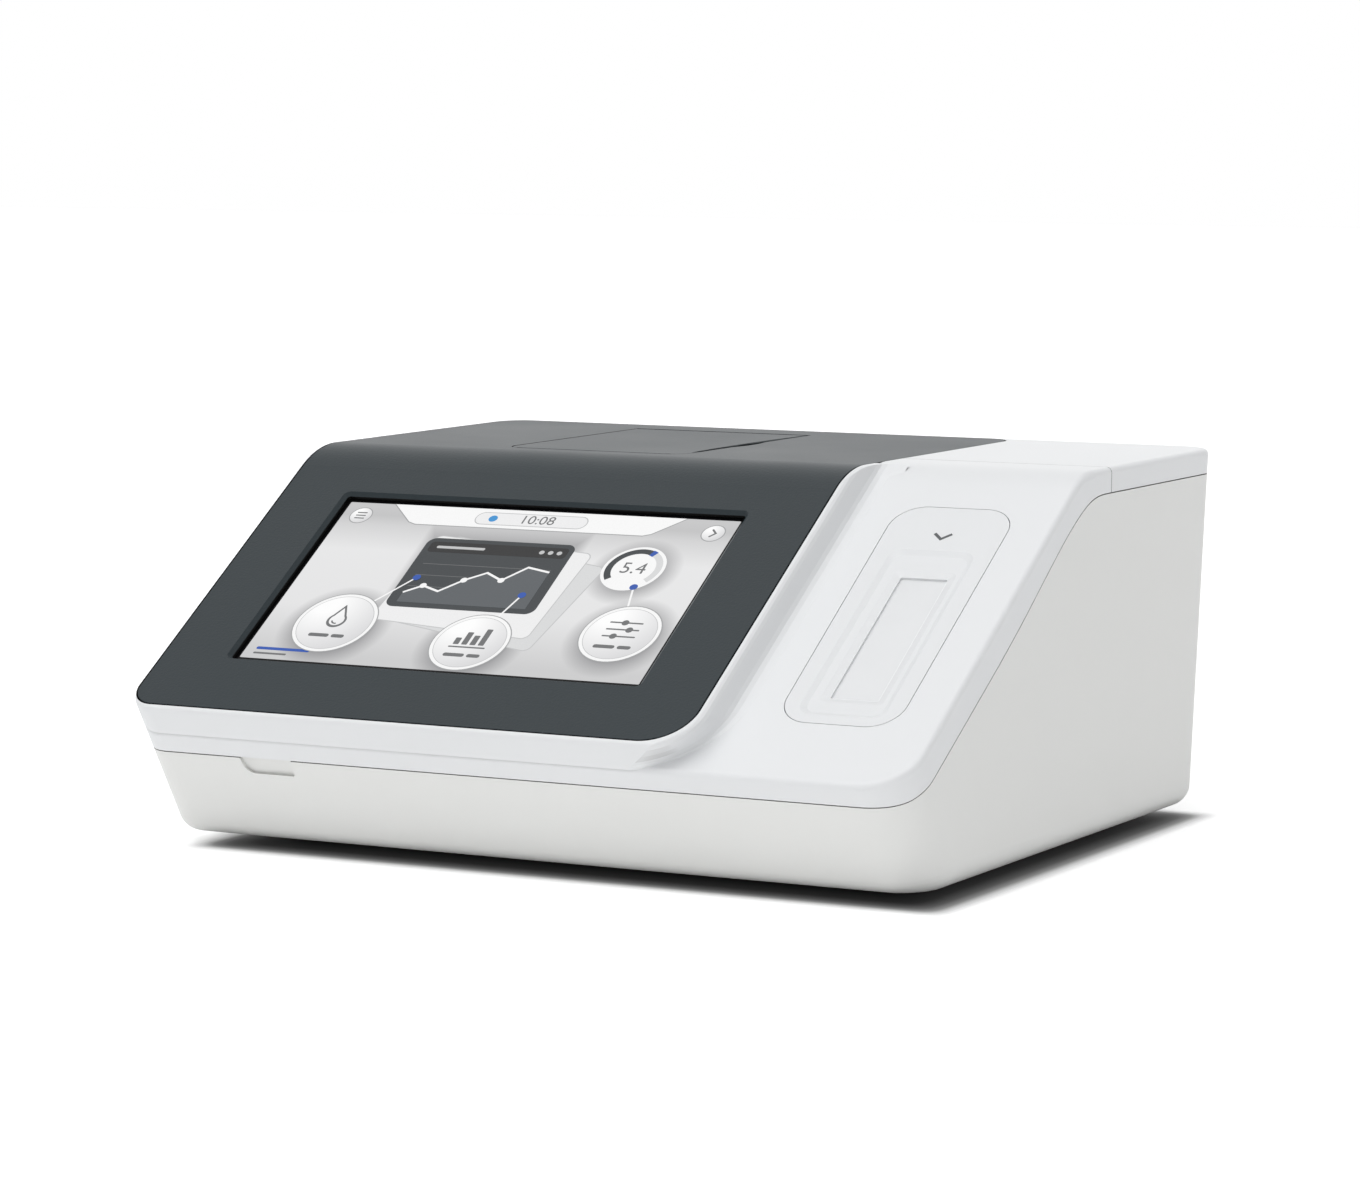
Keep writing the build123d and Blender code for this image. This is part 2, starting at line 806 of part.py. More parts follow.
def lower_case(shell):
    """Tub with floor, screw posts, chassis bosses, fan seat and rear openings."""
    body = (shell & seam_region(-seam_gap / 2)) + seam_lip()
    for x, y in case_posts:
        body += z_rod(x, y, post_r, floor_z - fuse, post_split_z - post_gap)
    for x, y in chassis_points:
        body += z_rod(x, y, chassis_boss_r, floor_z - fuse, chassis_z)
    seat = Box(2 * fan_seat_half, rear_y - fan_seat_y, 2 * fan_seat_half)
    seat = Pos(fan_x, (fan_seat_y + rear_y) / 2, fan_z) * seat
    seat -= y_rod(fan_x, fan_z, fan_bore_r + fan_seat_gap, 0, beyond)
    body += seat & housing_inside(wall - fuse)
    for x, y in case_posts:
        body -= z_rod(x, y, case_screw_r + screw_clearance, 0, post_split_z)
        body -= z_rod(x, y, screw_well_r, 0, screw_head_z)
    for x, y in chassis_points:
        body -= z_rod(x, y, case_screw_r, floor_z, chassis_z + fuse)
    for x, y in feet:
        body -= z_rod(x, y, foot_r + foot_clearance, 0, foot_pad_h)
    wide = 2 * io_hole_gap
    for x in usb_places:
        body -= rear_cut(x, board_top_z + usb_height / 2, usb_width + wide, usb_height + wide, io_hole_r)
    body -= rear_cut(lan_x, board_top_z + lan_height / 2, lan_width + wide, lan_height + wide, io_hole_r)
    barrel_d = inlet_size - wide
    body -= rear_cut(inlet_x, board_top_z + inlet_size / 2, barrel_d, barrel_d, barrel_d / 2 - fuse)
    hole = Rectangle(switch_body_x + switch_gap, switch_body_z + switch_gap)
    hole = fillet(hole.vertices(), switch_corner_r)
    body -= extrude(switch_plane() * hole, amount=switch_depth, both=True)
    for cut in grille_slots() + floor_slots():
        body -= cut
    return body - finger_notch()


def cover_pocket():
    """Space that the display cover takes out of the white shells."""
    return cover_outline(cover_gap) & skin_layer(-wall, wall + cover_floor_gap)


def cover_ledge(outside):
    """Ring below the pocket that the display cover rests on."""
    top_depth = cover_t + ledge_clearance
    layer = skin_layer(top_depth, top_depth + ledge_t)
    return layer & (cover_outline(ledge_out) - cover_outline(-ledge_in)) & outside


def upper_shell(shell, outside):
    """Both white upper shells before they are parted at the short seam."""
    body = (shell - seam_region(seam_gap / 2)) - cover_pocket() + cover_ledge(outside)
    below_cover = side_prism(0, cover_t + ledge_clearance + cover_floor_gap, cover_knee_r)
    below_wing = side_prism(wing_drop, wall - cover_floor_gap, wing_knee_r)
    for x, y in case_posts:
        post = z_rod(x, y, post_r, post_split_z + post_gap, top_z) & (below_cover if x < 0 else below_wing)
        body += post - z_rod(x, y, case_screw_r, 0, post_split_z + screw_grip)
    return body


def port_seat():
    """Ring under the scan port bezel and four posts for the scanner bracket."""
    ring_face = port_outline(port_ledge_out) - port_outline(-port_ledge_in)
    top = port_t + port_seat_gap
    seat = extrude(wing_plane(top) * ring_face, amount=-port_ledge_t)
    for x, v in scanner_posts:
        seat += incline_rod(x, v, boss_r, top + fuse, scanner_depth - top - fuse, wing_drop)
    for x, v in scanner_posts:
        seat -= incline_rod(x, v, screw_r, scanner_depth - post_bore_depth, 2 * post_bore_depth, wing_drop)
    return seat


def front_fascia(upper):
    """White front band, wing, left rim and the seat of the scan port."""
    front = span_box(-beyond, beyond, -beyond, short_seam_y - seam_gap / 2, -beyond, beyond)
    body = upper & front
    body -= extrude(wing_plane() * port_outline(port_gap), amount=wall + port_gap, both=True)
    return body + port_seat()


def rear_top_cover(upper):
    """White top behind the short seam."""
    return upper & span_box(-beyond, beyond, short_seam_y + seam_gap / 2, beyond, -beyond, beyond)


def finger_scallop():
    """Cut beside the lid that lets a fingertip lift it."""
    radius = (finger_gap_len ** 2 / 4 + finger_gap_depth ** 2) / (2 * finger_gap_depth)
    middle_x = lid_right + lid_gap + finger_gap_depth - radius
    cut = z_rod(middle_x, (lid_front_y + lid_rear_y) / 2, radius, top_z - finger_gap_z, top_z + finger_gap_z)
    return cut & span_box(lid_right, beyond, lid_front_y, lid_rear_y, 0, beyond)


def display_cover():
    """Dark skin over incline and roof with its screen and lid openings."""
    body = skin_layer(0, cover_t) & cover_outline(0)
    body = fillet(outer_cover_edges(body), cover_edge_r)
    for x, v in bracket_holes:
        body += incline_rod(x, v, boss_r, cover_t / 2, stack_depth - cover_t / 2)
    for side in (-1, 1):
        near = lid_x + side * ((lid_right - lid_left) / 2 + lid_gap)
        far = near + side * hinge_boss_len
        low_z = barrel_z - hinge_boss_drop
        high_z = top_z - cover_t / 2
        y_from = barrel_y - hinge_boss_half
        y_to = barrel_y + hinge_boss_half
        body += span_box(min(near, far), max(near, far), y_from, y_to, low_z, high_z)
    opening = rounded_rectangle(screen_x, screen_v, screen_width, screen_height, screen_corner_r)
    wide = screen_width + 2 * screen_chamfer
    high = screen_height + 2 * screen_chamfer
    flare = rounded_rectangle(screen_x, screen_v, wide, high, screen_corner_r + screen_chamfer)
    body -= extrude(incline_plane() * opening, amount=stack_depth, both=True)
    body -= sunk(opening, flare, screen_chamfer_depth, -flush_cut)
    body -= extrude(Plane.XY.offset(top_z) * lid_outline(lid_gap), amount=finger_gap_z, both=True)
    body -= finger_scallop()
    for x_from, x_to in pin_spans():
        body -= x_rod(barrel_y, barrel_z, hinge_pin_r, x_from, x_to)
    for x, v in bracket_holes:
        body -= incline_rod(x, v, screw_r, stack_depth - boss_bore_depth, 2 * boss_bore_depth)
    return body


def outer_cover_edges(body):
    """Outer boundary of the cover's visible face."""
    faces = [f for f in body.faces() if f.normal_at(f.center()).Z > 0.5]
    edges = [e for f in faces for e in f.edges()]
    return [e for e in edges if sum(e.is_same(other) for other in edges) == 1]


def compartment_lid():
    """Flat lid with a round rear barrel, pin bores and a stiffening frame below."""
    plate = extrude(Plane.XY.offset(top_z - lid_t) * lid_outline(0), amount=lid_t)
    plate = plate & span_box(-beyond, beyond, -beyond, barrel_y, 0, beyond)
    rim = [e for e in plate.edges() if lies_on(e, (0, 1, top_z))]
    plate = fillet([e for e in rim if (e @ 0.5).Y < barrel_y - lid_edge_r], lid_edge_r)
    body = plate + x_rod(barrel_y, barrel_z, barrel_r, lid_left, lid_right)
    rib_y = (lid_front_y + barrel_y) / 2
    rib_width = lid_width - 2 * lid_rib_inset
    rib_length = barrel_y - lid_front_y - 2 * lid_rib_inset
    frame = Rectangle(rib_width, rib_length)
    frame -= Rectangle(rib_width - 2 * lid_rib_t, rib_length - 2 * lid_rib_t)
    low = Plane.XY.offset(top_z - lid_t - lid_rib_h)
    body += extrude(low * (Pos(lid_x, rib_y) * frame), amount=lid_rib_h + fuse)
    bore_r = hinge_pin_r + pin_clearance
    reach = hinge_pin_len / 2 + pin_end_gap
    body -= x_rod(barrel_y, barrel_z, bore_r, lid_left - reach, lid_left + reach)
    return body - x_rod(barrel_y, barrel_z, bore_r, lid_right - reach, lid_right + reach)


def pin_spans():
    """Start and end of each hinge pin along X."""
    spans = []
    for side in (-1, 1):
        edge = lid_x + side * (lid_right - lid_left) / 2
        inner = edge - side * hinge_pin_len / 2
        outer = edge + side * (lid_gap + hinge_boss_len - pin_end_gap)
        spans.append((min(inner, outer), max(inner, outer)))
    return spans


def lid_hinge_pins():
    """Two short steel pins, held in the cover's bosses."""
    return Compound([x_rod(barrel_y, barrel_z, hinge_pin_r, x_from, x_to) for x_from, x_to in pin_spans()])


def touch_glass():
    """Cover glass of the display."""
    face = rounded_rectangle(screen_x, screen_v, glass_width, glass_height, glass_corner_r)
    return extrude(incline_plane(glass_depth) * face, amount=-glass_t)


def lcd_panel():
    """Display module behind the glass, with its rear frame and connector."""
    face = rounded_rectangle(screen_x, screen_v, glass_width, glass_height, glass_corner_r)
    body = extrude(incline_plane(glass_depth + glass_t) * face, amount=-panel_t)
    width = glass_width - 2 * panel_rim
    height = glass_height - 2 * panel_rim
    recess = rounded_rectangle(screen_x, screen_v, width, height, glass_corner_r)
    return body - extrude(incline_plane(stack_depth) * recess, amount=panel_recess, both=True)


def display_bracket():
    """Sheet bracket that clamps the panel to the cover's bosses."""
    width = 2 * (bracket_half_x + boss_r + bracket_edge)
    height = 2 * (bracket_half_v + boss_r + bracket_edge)
    face = rounded_rectangle(screen_x, screen_v, width, height, bracket_corner_r)
    window_x_size = glass_width / 2 - bracket_bar
    window_v_size = height - 2 * bracket_bar
    for side in (-1, 1):
        middle = screen_x + side * glass_width / 4
        face -= rounded_rectangle(middle, screen_v, window_x_size, window_v_size, bracket_corner_r)
    for x, v in bracket_holes:
        face -= Pos(x, v) * Circle(screw_r + screw_clearance)
    return extrude(incline_plane(stack_depth) * face, amount=-bracket_t)


def screw_group(points, make_head, make_shank):
    """Same screw at each point."""
    return Compound([make_head(p) + make_shank(p) for p in points])


def display_screws():
    """Screws of the display bracket."""
    deep = stack_depth + bracket_t
    length = boss_bore_depth
    head = lambda p: incline_rod(p[0], p[1], screw_head_r, deep, screw_head_t)
    shank = lambda p: incline_rod(p[0], p[1], screw_r, deep - length, length + fuse)
    return screw_group(bracket_holes, head, shank)


def scan_bezel():
    """Insert in the wing with two stepped dishes round the window opening."""
    body = extrude(wing_plane() * port_outline(0), amount=-port_t)
    low_width = dish_width - 2 * dish_slope
    low_height = dish_height - 2 * dish_slope
    dish_floor = rounded_rectangle(port_x, dish_v, low_width, low_height, dish_r - dish_slope / 2)
    dish_rim = rounded_rectangle(port_x, dish_v, dish_width, dish_height, dish_r)
    body -= sunk(dish_floor, dish_rim, dish_depth, -flush_cut, wing_drop)
    opening = rounded_rectangle(window_x, window_center_v, window_width, window_height, window_edge_r)
    inner_rim = rounded_rectangle(window_x, window_center_v, inner_width, inner_height, inner_r)
    floor_width = window_width + inner_floor_rim
    floor_height = window_height + inner_floor_rim
    inner_floor = rounded_rectangle(window_x, window_center_v, floor_width, floor_height, inner_r / 2)
    body -= sunk(inner_floor, inner_rim, inner_depth, dish_depth - flush_cut, wing_drop)
    return body - extrude(wing_plane() * opening, amount=2 * port_t, both=True)


def scan_window():
    """Pane glued under the bezel."""
    width = window_width + 2 * window_lap
    height = window_height + 2 * window_lap
    face = rounded_rectangle(window_x, window_center_v, width, height, window_lap)
    return extrude(wing_plane(port_t) * face, amount=-window_t)


def scanner_bracket():
    """Sheet plate on the fascia's posts that carries the code reader."""
    width = scanner_span_x + scanner_margin
    height = scanner_span_v + scanner_margin
    face = rounded_rectangle(window_x, window_center_v, width, height, bracket_corner_r)
    slot = SlotOverall(scanner_slot_width, scanner_slot_height)
    for side in (-1, 1):
        face -= Pos(window_x, window_center_v + side * (scanner_span_v - scanner_margin) / 2) * slot
    for x, v in scanner_posts:
        face -= Pos(x, v) * Circle(screw_r + screw_clearance)
    return extrude(wing_plane(scanner_depth) * face, amount=-bracket_t)


def scanner_screws():
    """Screws of the scanner bracket."""
    deep = scanner_depth + bracket_t
    length = post_bore_depth - bracket_t
    head = lambda p: incline_rod(p[0], p[1], screw_head_r, deep, screw_head_t, wing_drop)
    shank = lambda p: incline_rod(p[0], p[1], screw_r, deep - length, length + fuse, wing_drop)
    return screw_group(scanner_posts, head, shank)


def scanner_module():
    """Code reader with its lens towards the window."""
    top = scanner_depth - scanner_h
    face = rounded_rectangle(window_x, window_center_v, scanner_width, scanner_length, scanner_corner_r)
    body = extrude(wing_plane(top) * face, amount=-scanner_h)
    tip = top - barrel_len
    body += incline_rod(window_x, window_center_v, barrel_outer_r, tip, barrel_len + fuse, wing_drop)
    mouth = barrel_len - lens_seat
    return body - incline_rod(window_x, window_center_v, barrel_inner_r, tip - mouth, 2 * mouth, wing_drop)


def scanner_lens():
    """Lens in the reader's barrel."""
    plane = wing_plane(scanner_depth - scanner_h - lens_seat)
    edge_z = sqrt(lens_r ** 2 - lens_edge_r ** 2) - lens_rim_t
    bulge = Sphere(lens_r) & (Pos(0, 0, edge_z + lens_t / 2) * Cylinder(lens_edge_r, lens_t))
    return plane.location * Pos(window_x, window_center_v, -edge_z) * bulge


def compartment_well():
    """Tray under the lid with a slot above the cartridge holder."""
    left = lid_left - lid_gap + well_ledge
    right = lid_right + lid_gap - well_ledge
    front = lid_front_y - lid_gap + well_ledge
    rear = barrel_y - barrel_r - well_rear_gap
    top = top_z - cover_t - ledge_clearance
    reach = well_ledge + well_flange
    rim_low = top - well_wall
    flange = span_box(left - reach, right + reach, front - reach, rear + well_wall, rim_low, top)
    floor_low = well_floor_z - well_wall
    tub = span_box(left - well_wall, right + well_wall, front - well_wall, rear + well_wall, floor_low, top)
    hollow = span_box(left, right, front, rear, well_floor_z, top + well_wall)
    hollow = fillet(hollow.edges().filter_by(Axis.Z), well_corner_r)
    hollow = fillet([e for e in hollow.edges() if lies_on(e, (0, 1, well_floor_z))], well_floor_r)
    body = flange + tub - hollow
    slot = rounded_rectangle(lid_x, rotor_y, 2 * well_slot_half_x, 2 * well_slot_half_y, well_slot_r)
    return body - extrude(Plane.XY.offset(well_floor_z) * slot, amount=2 * well_wall, both=True)


def frame_side(x_from, bore_points):
    """One upright of the mechanism frame with its bores."""
    points = [(frame_front_y, deck_z), (frame_rear_y, deck_z), (frame_rear_y, frame_shoulder_z)]
    top_rear = rotor_y + frame_top_half
    top_front = rotor_y - frame_top_half
    points += [(top_rear, frame_top_z), (top_front, frame_top_z), (frame_front_y, frame_shoulder_z)]
    radii = [0, 0, frame_shoulder_r, frame_top_r, frame_top_r, frame_shoulder_r]
    face = make_face(FilletPolyline(*points, radius=radii, close=True))
    for y, z, radius in bore_points:
        face -= Pos(y, z) * Circle(radius)
    return extrude(Plane.YZ.offset(x_from) * face, amount=frame_t)


def mechanism_frame():
    """Bent sheet frame: base and two uprights."""
    shared = [(rotor_y, rotor_z, bush_r), (rotor_y, sight_z, lamp_r)]
    left_bores = shared + [(pinion_y - frame_window_shift, pinion_z, frame_window_r)]
    right_bores = shared + [(pinion_y, pinion_z, motor_pilot_r + pilot_clearance)]
    holes = corner_points(pinion_y, pinion_z, motor_hole, motor_hole)
    right_bores += [(y, z, screw_r + screw_clearance) for y, z in holes]
    left = frame_left - frame_t
    base = span_box(left, frame_right + frame_t, frame_front_y, frame_rear_y, deck_z, deck_z + frame_t)
    return base + frame_side(left, left_bores) + frame_side(frame_right, right_bores)


def cartridge_holder():
    """Drum with the cartridge pocket open at its rim, hubs and a sight hole."""
    body = x_rod(rotor_y, rotor_z, rotor_r, rotor_left, rotor_right)
    body = fillet([e for e in body.edges() if e.geom_type == GeomType.CIRCLE], rotor_edge_r)
    for n in range(lightening_count):
        angle = radians(-90 + (n - (lightening_count - 1) / 2) * lightening_pitch)
        y = rotor_y + lightening_place * cos(angle)
        z = rotor_z + lightening_place * sin(angle)
        body -= x_rod(y, z, lightening_r, rotor_left, rotor_right)
    start = rotor_left - hub_len
    end = rotor_right + hub_len
    body += x_rod(rotor_y, rotor_z, hub_r, start, end)
    pocket = Pos(lid_x, rotor_y) * Rectangle(pocket_width, pocket_length)
    body -= extrude(Plane.XY.offset(rotor_z - pocket_floor) * pocket, amount=pocket_floor + 2 * rotor_r)
    body -= x_rod(rotor_y, rotor_z, shaft_r, start, end)
    return body - x_rod(rotor_y, sight_z, sight_r, start, end)


def holder_shafts():
    """Stub shafts pressed into the drum's hubs."""
    reach = (rotor_width - pocket_width) / 2 - shaft_end_gap
    stubs = []
    for side in (-1, 1):
        outer = lid_x + side * (frame_half_gap + frame_t + bush_len - bush_flange_t)
        inner = lid_x + side * (rotor_width / 2 - reach)
        stubs.append(x_rod(rotor_y, rotor_z, shaft_r, min(inner, outer), max(inner, outer)))
    return Compound(stubs)


def shaft_bushes():
    """Flanged bronze bushes in the frame."""
    bushes = []
    for side in (-1, 1):
        face_x = lid_x + side * frame_half_gap
        flange_x = face_x - side * bush_flange_t
        end_x = face_x + side * (bush_len - bush_flange_t)
        bush = x_rod(rotor_y, rotor_z, bush_flange_r, min(face_x, flange_x), max(face_x, flange_x))
        bush += x_rod(rotor_y, rotor_z, bush_r, min(face_x, end_x), max(face_x, end_x))
        bushes.append(bush - x_rod(rotor_y, rotor_z, shaft_r + shaft_clearance, -beyond, beyond))
    return Compound(bushes)


def gear_face_outline(teeth, phase):
    """Gear outline: straight-flanked teeth from root to tip circle."""
    pitch_r = teeth * gear_module / 2
    root_r = pitch_r - dedendum * gear_module
    tip_r = pitch_r + gear_module
    half_pitch = pi / teeth
    lean = tan(radians(pressure_angle))
    half_tooth = tooth_share * half_pitch
    half_root = half_tooth + dedendum * gear_module * lean / root_r
    half_tip = half_tooth - gear_module * lean / tip_r
    points = []
    for n in range(teeth):
        middle = radians(phase) + 2 * half_pitch * n
        corners = [(root_r, -half_root), (tip_r, -half_tip), (tip_r, half_tip), (root_r, half_root)]
        for radius, angle in corners:
            points.append((radius * cos(middle + angle), radius * sin(middle + angle)))
    return make_face(Polyline(*points, close=True))


def holder_gear():
    """Large gear beside the drum, with web windows and a sight hole."""
    face = gear_face_outline(gear_teeth, drive_angle)
    for n in range(1, gear_window_count):
        angle = radians(n * 360 / gear_window_count - 90)
        face -= Pos(gear_window_place * cos(angle), gear_window_place * sin(angle)) * Circle(gear_window_r)
    face -= Circle(shaft_r)
    face -= Pos(0, sight_z - rotor_z) * Circle(sight_r)
    return extrude(Plane.YZ.offset(gear_x) * (Pos(rotor_y, rotor_z) * face), amount=gear_face)


def drive_pinion():
    """Small gear on the motor shaft, with its hub."""
    phase = 180 + drive_angle + 180 / pinion_teeth
    middle = gear_x + gear_face / 2
    face = gear_face_outline(pinion_teeth, phase)
    face = Pos(pinion_y, pinion_z) * (face - Circle(motor_shaft_r))
    return extrude(Plane.YZ.offset(middle - pinion_face / 2) * face, amount=pinion_face)


def motor_shaft():
    """Shaft of the stepper motor."""
    start = gear_x + (gear_face - pinion_face) / 2 - shaft_end_gap
    end = frame_right + frame_t + motor_shaft_depth - 2 * frame_t
    return x_rod(pinion_y, pinion_z, motor_shaft_r, start, end)


def stepper_motor():
    """Motor body with chamfered edges, pilot and shaft bore."""
    start = frame_right + frame_t
    body = Pos(start + motor_len / 2, pinion_y, pinion_z) * Box(motor_len, motor_size, motor_size)
    body = chamfer(body.edges().filter_by(Axis.X), motor_edge)
    body += x_rod(pinion_y, pinion_z, motor_pilot_r, frame_right, start)
    bore_r = motor_shaft_r + shaft_clearance
    return body - x_rod(pinion_y, pinion_z, bore_r, frame_right, start + motor_shaft_depth)


def motor_screws():
    """Screws that hold the motor to the frame."""
    start = frame_right
    head = lambda p: x_rod(p[0], p[1], screw_head_r, start - screw_head_t, start)
    shank = lambda p: x_rod(p[0], p[1], screw_r, start - fuse, start + frame_t)
    return screw_group(corner_points(pinion_y, pinion_z, motor_hole, motor_hole), head, shank)


def heater_block():
    """Aluminium saddle that warms the drum from below, on its pedestal."""
    inner_r = rotor_r + heater_gap
    outer_r = inner_r + heater_t
    reach = 2 * outer_r
    side = reach * sin(radians(heater_half_angle))
    drop = reach * cos(radians(heater_half_angle))
    wedge = make_face(Polyline((0, 0), (-side, -drop), (side, -drop), close=True))
    face = (Circle(outer_r) - Circle(inner_r)) & wedge
    leg_top = -inner_r - heater_t / 2
    leg_low = deck_z + frame_t - rotor_z
    face += Pos(0, (leg_top + leg_low) / 2) * Rectangle(heater_leg, leg_top - leg_low)
    start = Plane.YZ.offset(rotor_left + heater_inset)
    return extrude(start * (Pos(rotor_y, rotor_z) * face), amount=rotor_width - 2 * heater_inset)


def light_source():
    """Lamp tube in the left upright, aimed through the drum."""
    end = rotor_left - optic_gap
    body = x_rod(rotor_y, sight_z, lamp_r, end - lamp_len, end)
    return body - x_rod(rotor_y, sight_z, sight_r, end - lamp_bore, end)


def photo_detector():
    """Detector tube in the right upright, facing the gear's sight hole."""
    start = gear_x + gear_face + detector_gap
    body = x_rod(rotor_y, sight_z, lamp_r, start, start + lamp_len)
    return body - x_rod(rotor_y, sight_z, sight_r, start, start + lamp_bore)


def home_sensor():
    """Reflective sensor on the right upright that sees the gear's windows."""
    start = gear_x + gear_face + detector_gap
    middle = ((start + frame_right) / 2, rotor_y + sensor_y, rotor_z)
    return Pos(*middle) * Box(frame_right - start, sensor_width, sensor_height)


def lid_switch():
    """Micro switch on the front of the well, with its lever."""
    rear = lid_front_y - lid_gap + well_ledge - well_wall
    top = top_z - cover_t - ledge_clearance - well_wall - lid_switch_drop
    middle_z = top - lid_switch_z / 2
    body = Pos(lid_x, rear - lid_switch_y / 2, middle_z) * Box(lid_switch_x, lid_switch_y, lid_switch_z)
    lever = Box(lid_switch_x - lid_switch_y / 2, lid_switch_y / 2, lever_t)
    return body + Pos(lid_x, rear - lid_switch_y / 2, top + lever_t / 2 - fuse) * lever


def chassis_plate():
    """Steel plate that carries boards and mechanism."""
    middle_y = (chassis_front_y + chassis_rear_y) / 2
    length = chassis_rear_y - chassis_front_y
    face = rounded_rectangle(0, middle_y, 2 * chassis_half_x, length, chassis_corner_r)
    for x, y in chassis_points:
        face -= Pos(x, y) * Circle(case_screw_r + screw_clearance)
    slot = SlotOverall(floor_slot_length, floor_slot_width, rotation=90)
    for n in range(floor_slot_count):
        face -= Pos(floor_slot_x + n * floor_slot_pitch, floor_slot_y) * slot
    return extrude(Plane.XY.offset(chassis_z) * face, amount=chassis_t)


def chassis_screws():
    """Screws of the chassis plate."""
    head = lambda p: z_rod(p[0], p[1], chassis_head_r, deck_z, deck_z + chassis_head_t)
    shank = lambda p: z_rod(p[0], p[1], case_screw_r, floor_z, deck_z + fuse)
    return screw_group(chassis_points, head, shank)


def board_posts(x_from, x_to, y_from, y_to):
    """Standoff points near a board's corners."""
    inset = standoff_inset
    return [(x, y) for x in (x_from + inset, x_to - inset) for y in (y_from + inset, y_to - inset)]


def board_standoffs():
    """Hexagonal spacers between the chassis and both boards."""
    points = board_posts(main_board_left, main_board_right, main_board_front, main_board_rear)
    points += board_posts(power_board_left, power_board_right, power_board_front, power_board_rear)
    deck = Plane.XY.offset(deck_z)
    hexagon = RegularPolygon(standoff_r, 6)
    return Compound([extrude(deck * (Pos(x, y) * hexagon), amount=board_standoff_h) for x, y in points])


def board_plate(x_from, x_to, y_from, y_to):
    """Bare circuit board on its spacers."""
    return span_box(x_from, x_to, y_from, y_to, board_z, board_top_z)


def chip(middle_x, front_y, part, shift=0.0):
    """Component body standing on a board, shifted sideways."""
    dx, dy, width, length, height = part
    block = Box(width, length, height + fuse, align=(Align.CENTER, Align.CENTER, Align.MIN))
    return Pos(middle_x + dx + shift, front_y + dy, board_top_z - fuse) * block


def capacitor(middle_x, front_y, part, shift):
    """Round component standing on a board, shifted sideways."""
    dx, dy, radius, height = part
    return z_rod(middle_x + dx + shift, front_y + dy, radius, board_top_z - fuse, board_top_z + height)


def main_board():
    """Main circuit board with its larger parts."""
    body = board_plate(main_board_left, main_board_right, main_board_front, main_board_rear)
    for part in main_board_chips:
        body += chip(main_board_x, main_board_front, part)
    for n in range(processor_fins):
        body += chip(main_board_x, main_board_front, processor_fin, n * processor_fin_pitch)
    for n in range(main_capacitors):
        body += capacitor(main_board_x, main_board_front, main_capacitor, n * main_capacitor_pitch)
    return body


def power_board():
    """Supply board with choke, capacitors and a finned heat sink."""
    body = board_plate(power_board_left, power_board_right, power_board_front, power_board_rear)
    for n in range(power_capacitors):
        body += capacitor(power_board_x, power_board_front, power_capacitor, n * power_capacitor_pitch)
    body += chip(power_board_x, power_board_front, choke)
    body += chip(power_board_x, power_board_front, sink_base)
    for n in range(sink_fins):
        body += chip(power_board_x, power_board_front, sink_fin, n * sink_fin_pitch)
    return body


def ribbon_socket():
    """Connector on the main board that takes the display ribbon."""
    block = Box(ribbon_width + ribbon_socket_y, ribbon_socket_y, ribbon_socket_h)
    return Pos(ribbon_x, ribbon_y, board_top_z + ribbon_socket_h / 2) * block


def display_ribbon():
    """Flat ribbon from the back of the panel down to the main board."""
    back = incline_plane(stack_depth - panel_recess)
    start = back.from_local_coords(Vector(0, ribbon_v, 0))
    out = back.from_local_coords(Vector(0, ribbon_v, -ribbon_out))
    socket_z = board_top_z + ribbon_socket_h
    points = [(start.Y, start.Z), (out.Y, out.Z), (ribbon_y, socket_z + ribbon_rise), (ribbon_y, socket_z)]
    path = FilletPolyline(*points, radius=[ribbon_high_r, ribbon_low_r])
    band = trace(path, line_width=ribbon_t)
    return extrude(Plane.YZ.offset(ribbon_x - ribbon_width / 2) * band, amount=ribbon_width)


def socket_block(x, width, length, height):
    """Body of a socket on the board, its mouth at the rear face."""
    half = width / 2
    return span_box(x - half, x + half, io_face_y - length, io_face_y, board_top_z, board_top_z + height)


def socket_mouth(x, width, depth, low, high):
    """Cut into a socket from its rear face, between two heights over the board."""
    half = width / 2
    return span_box(x - half, x + half, io_face_y - depth, rear_y, board_top_z + low, board_top_z + high)


def usb_ports():
    """Pair of sockets with their tongues."""
    ports = []
    for x in usb_places:
        port = socket_block(x, usb_width, usb_len, usb_height)
        port -= socket_mouth(x, usb_width - 2 * usb_metal, usb_depth, usb_metal, usb_height - usb_metal)
        tongue = Box(usb_tongue_width, usb_depth - usb_tongue_inset + fuse, usb_tongue_t)
        tongue_y = io_face_y - (usb_depth + usb_tongue_inset + fuse) / 2
        port += Pos(x, tongue_y, board_top_z + (usb_height + usb_tongue_t) / 2 + usb_tongue_rise) * tongue
        ports.append(port)
    return Compound(ports)


def lan_port():
    """Network socket with its latch groove."""
    body = socket_block(lan_x, lan_width, lan_len, lan_height)
    for width, low, high in (lan_mouth, lan_latch):
        body -= socket_mouth(lan_x, width, lan_depth, low, high)
    return body


def dc_inlet():
    """Low voltage power socket with its centre pin."""
    half = inlet_size / 2
    middle_z = board_top_z + half
    front = io_face_y - inlet_len
    step = io_face_y - inlet_barrel_len
    body = span_box(inlet_x - half, inlet_x + half, front, step, board_top_z, board_top_z + inlet_size)
    body += y_rod(inlet_x, middle_z, half - 2 * io_hole_gap, step - fuse, io_face_y)
    body -= y_rod(inlet_x, middle_z, inlet_mouth_r, io_face_y - inlet_depth, io_face_y)
    pin_end = io_face_y - inlet_pin_r
    return body + y_rod(inlet_x, middle_z, inlet_pin_r, io_face_y - inlet_depth - fuse, pin_end)


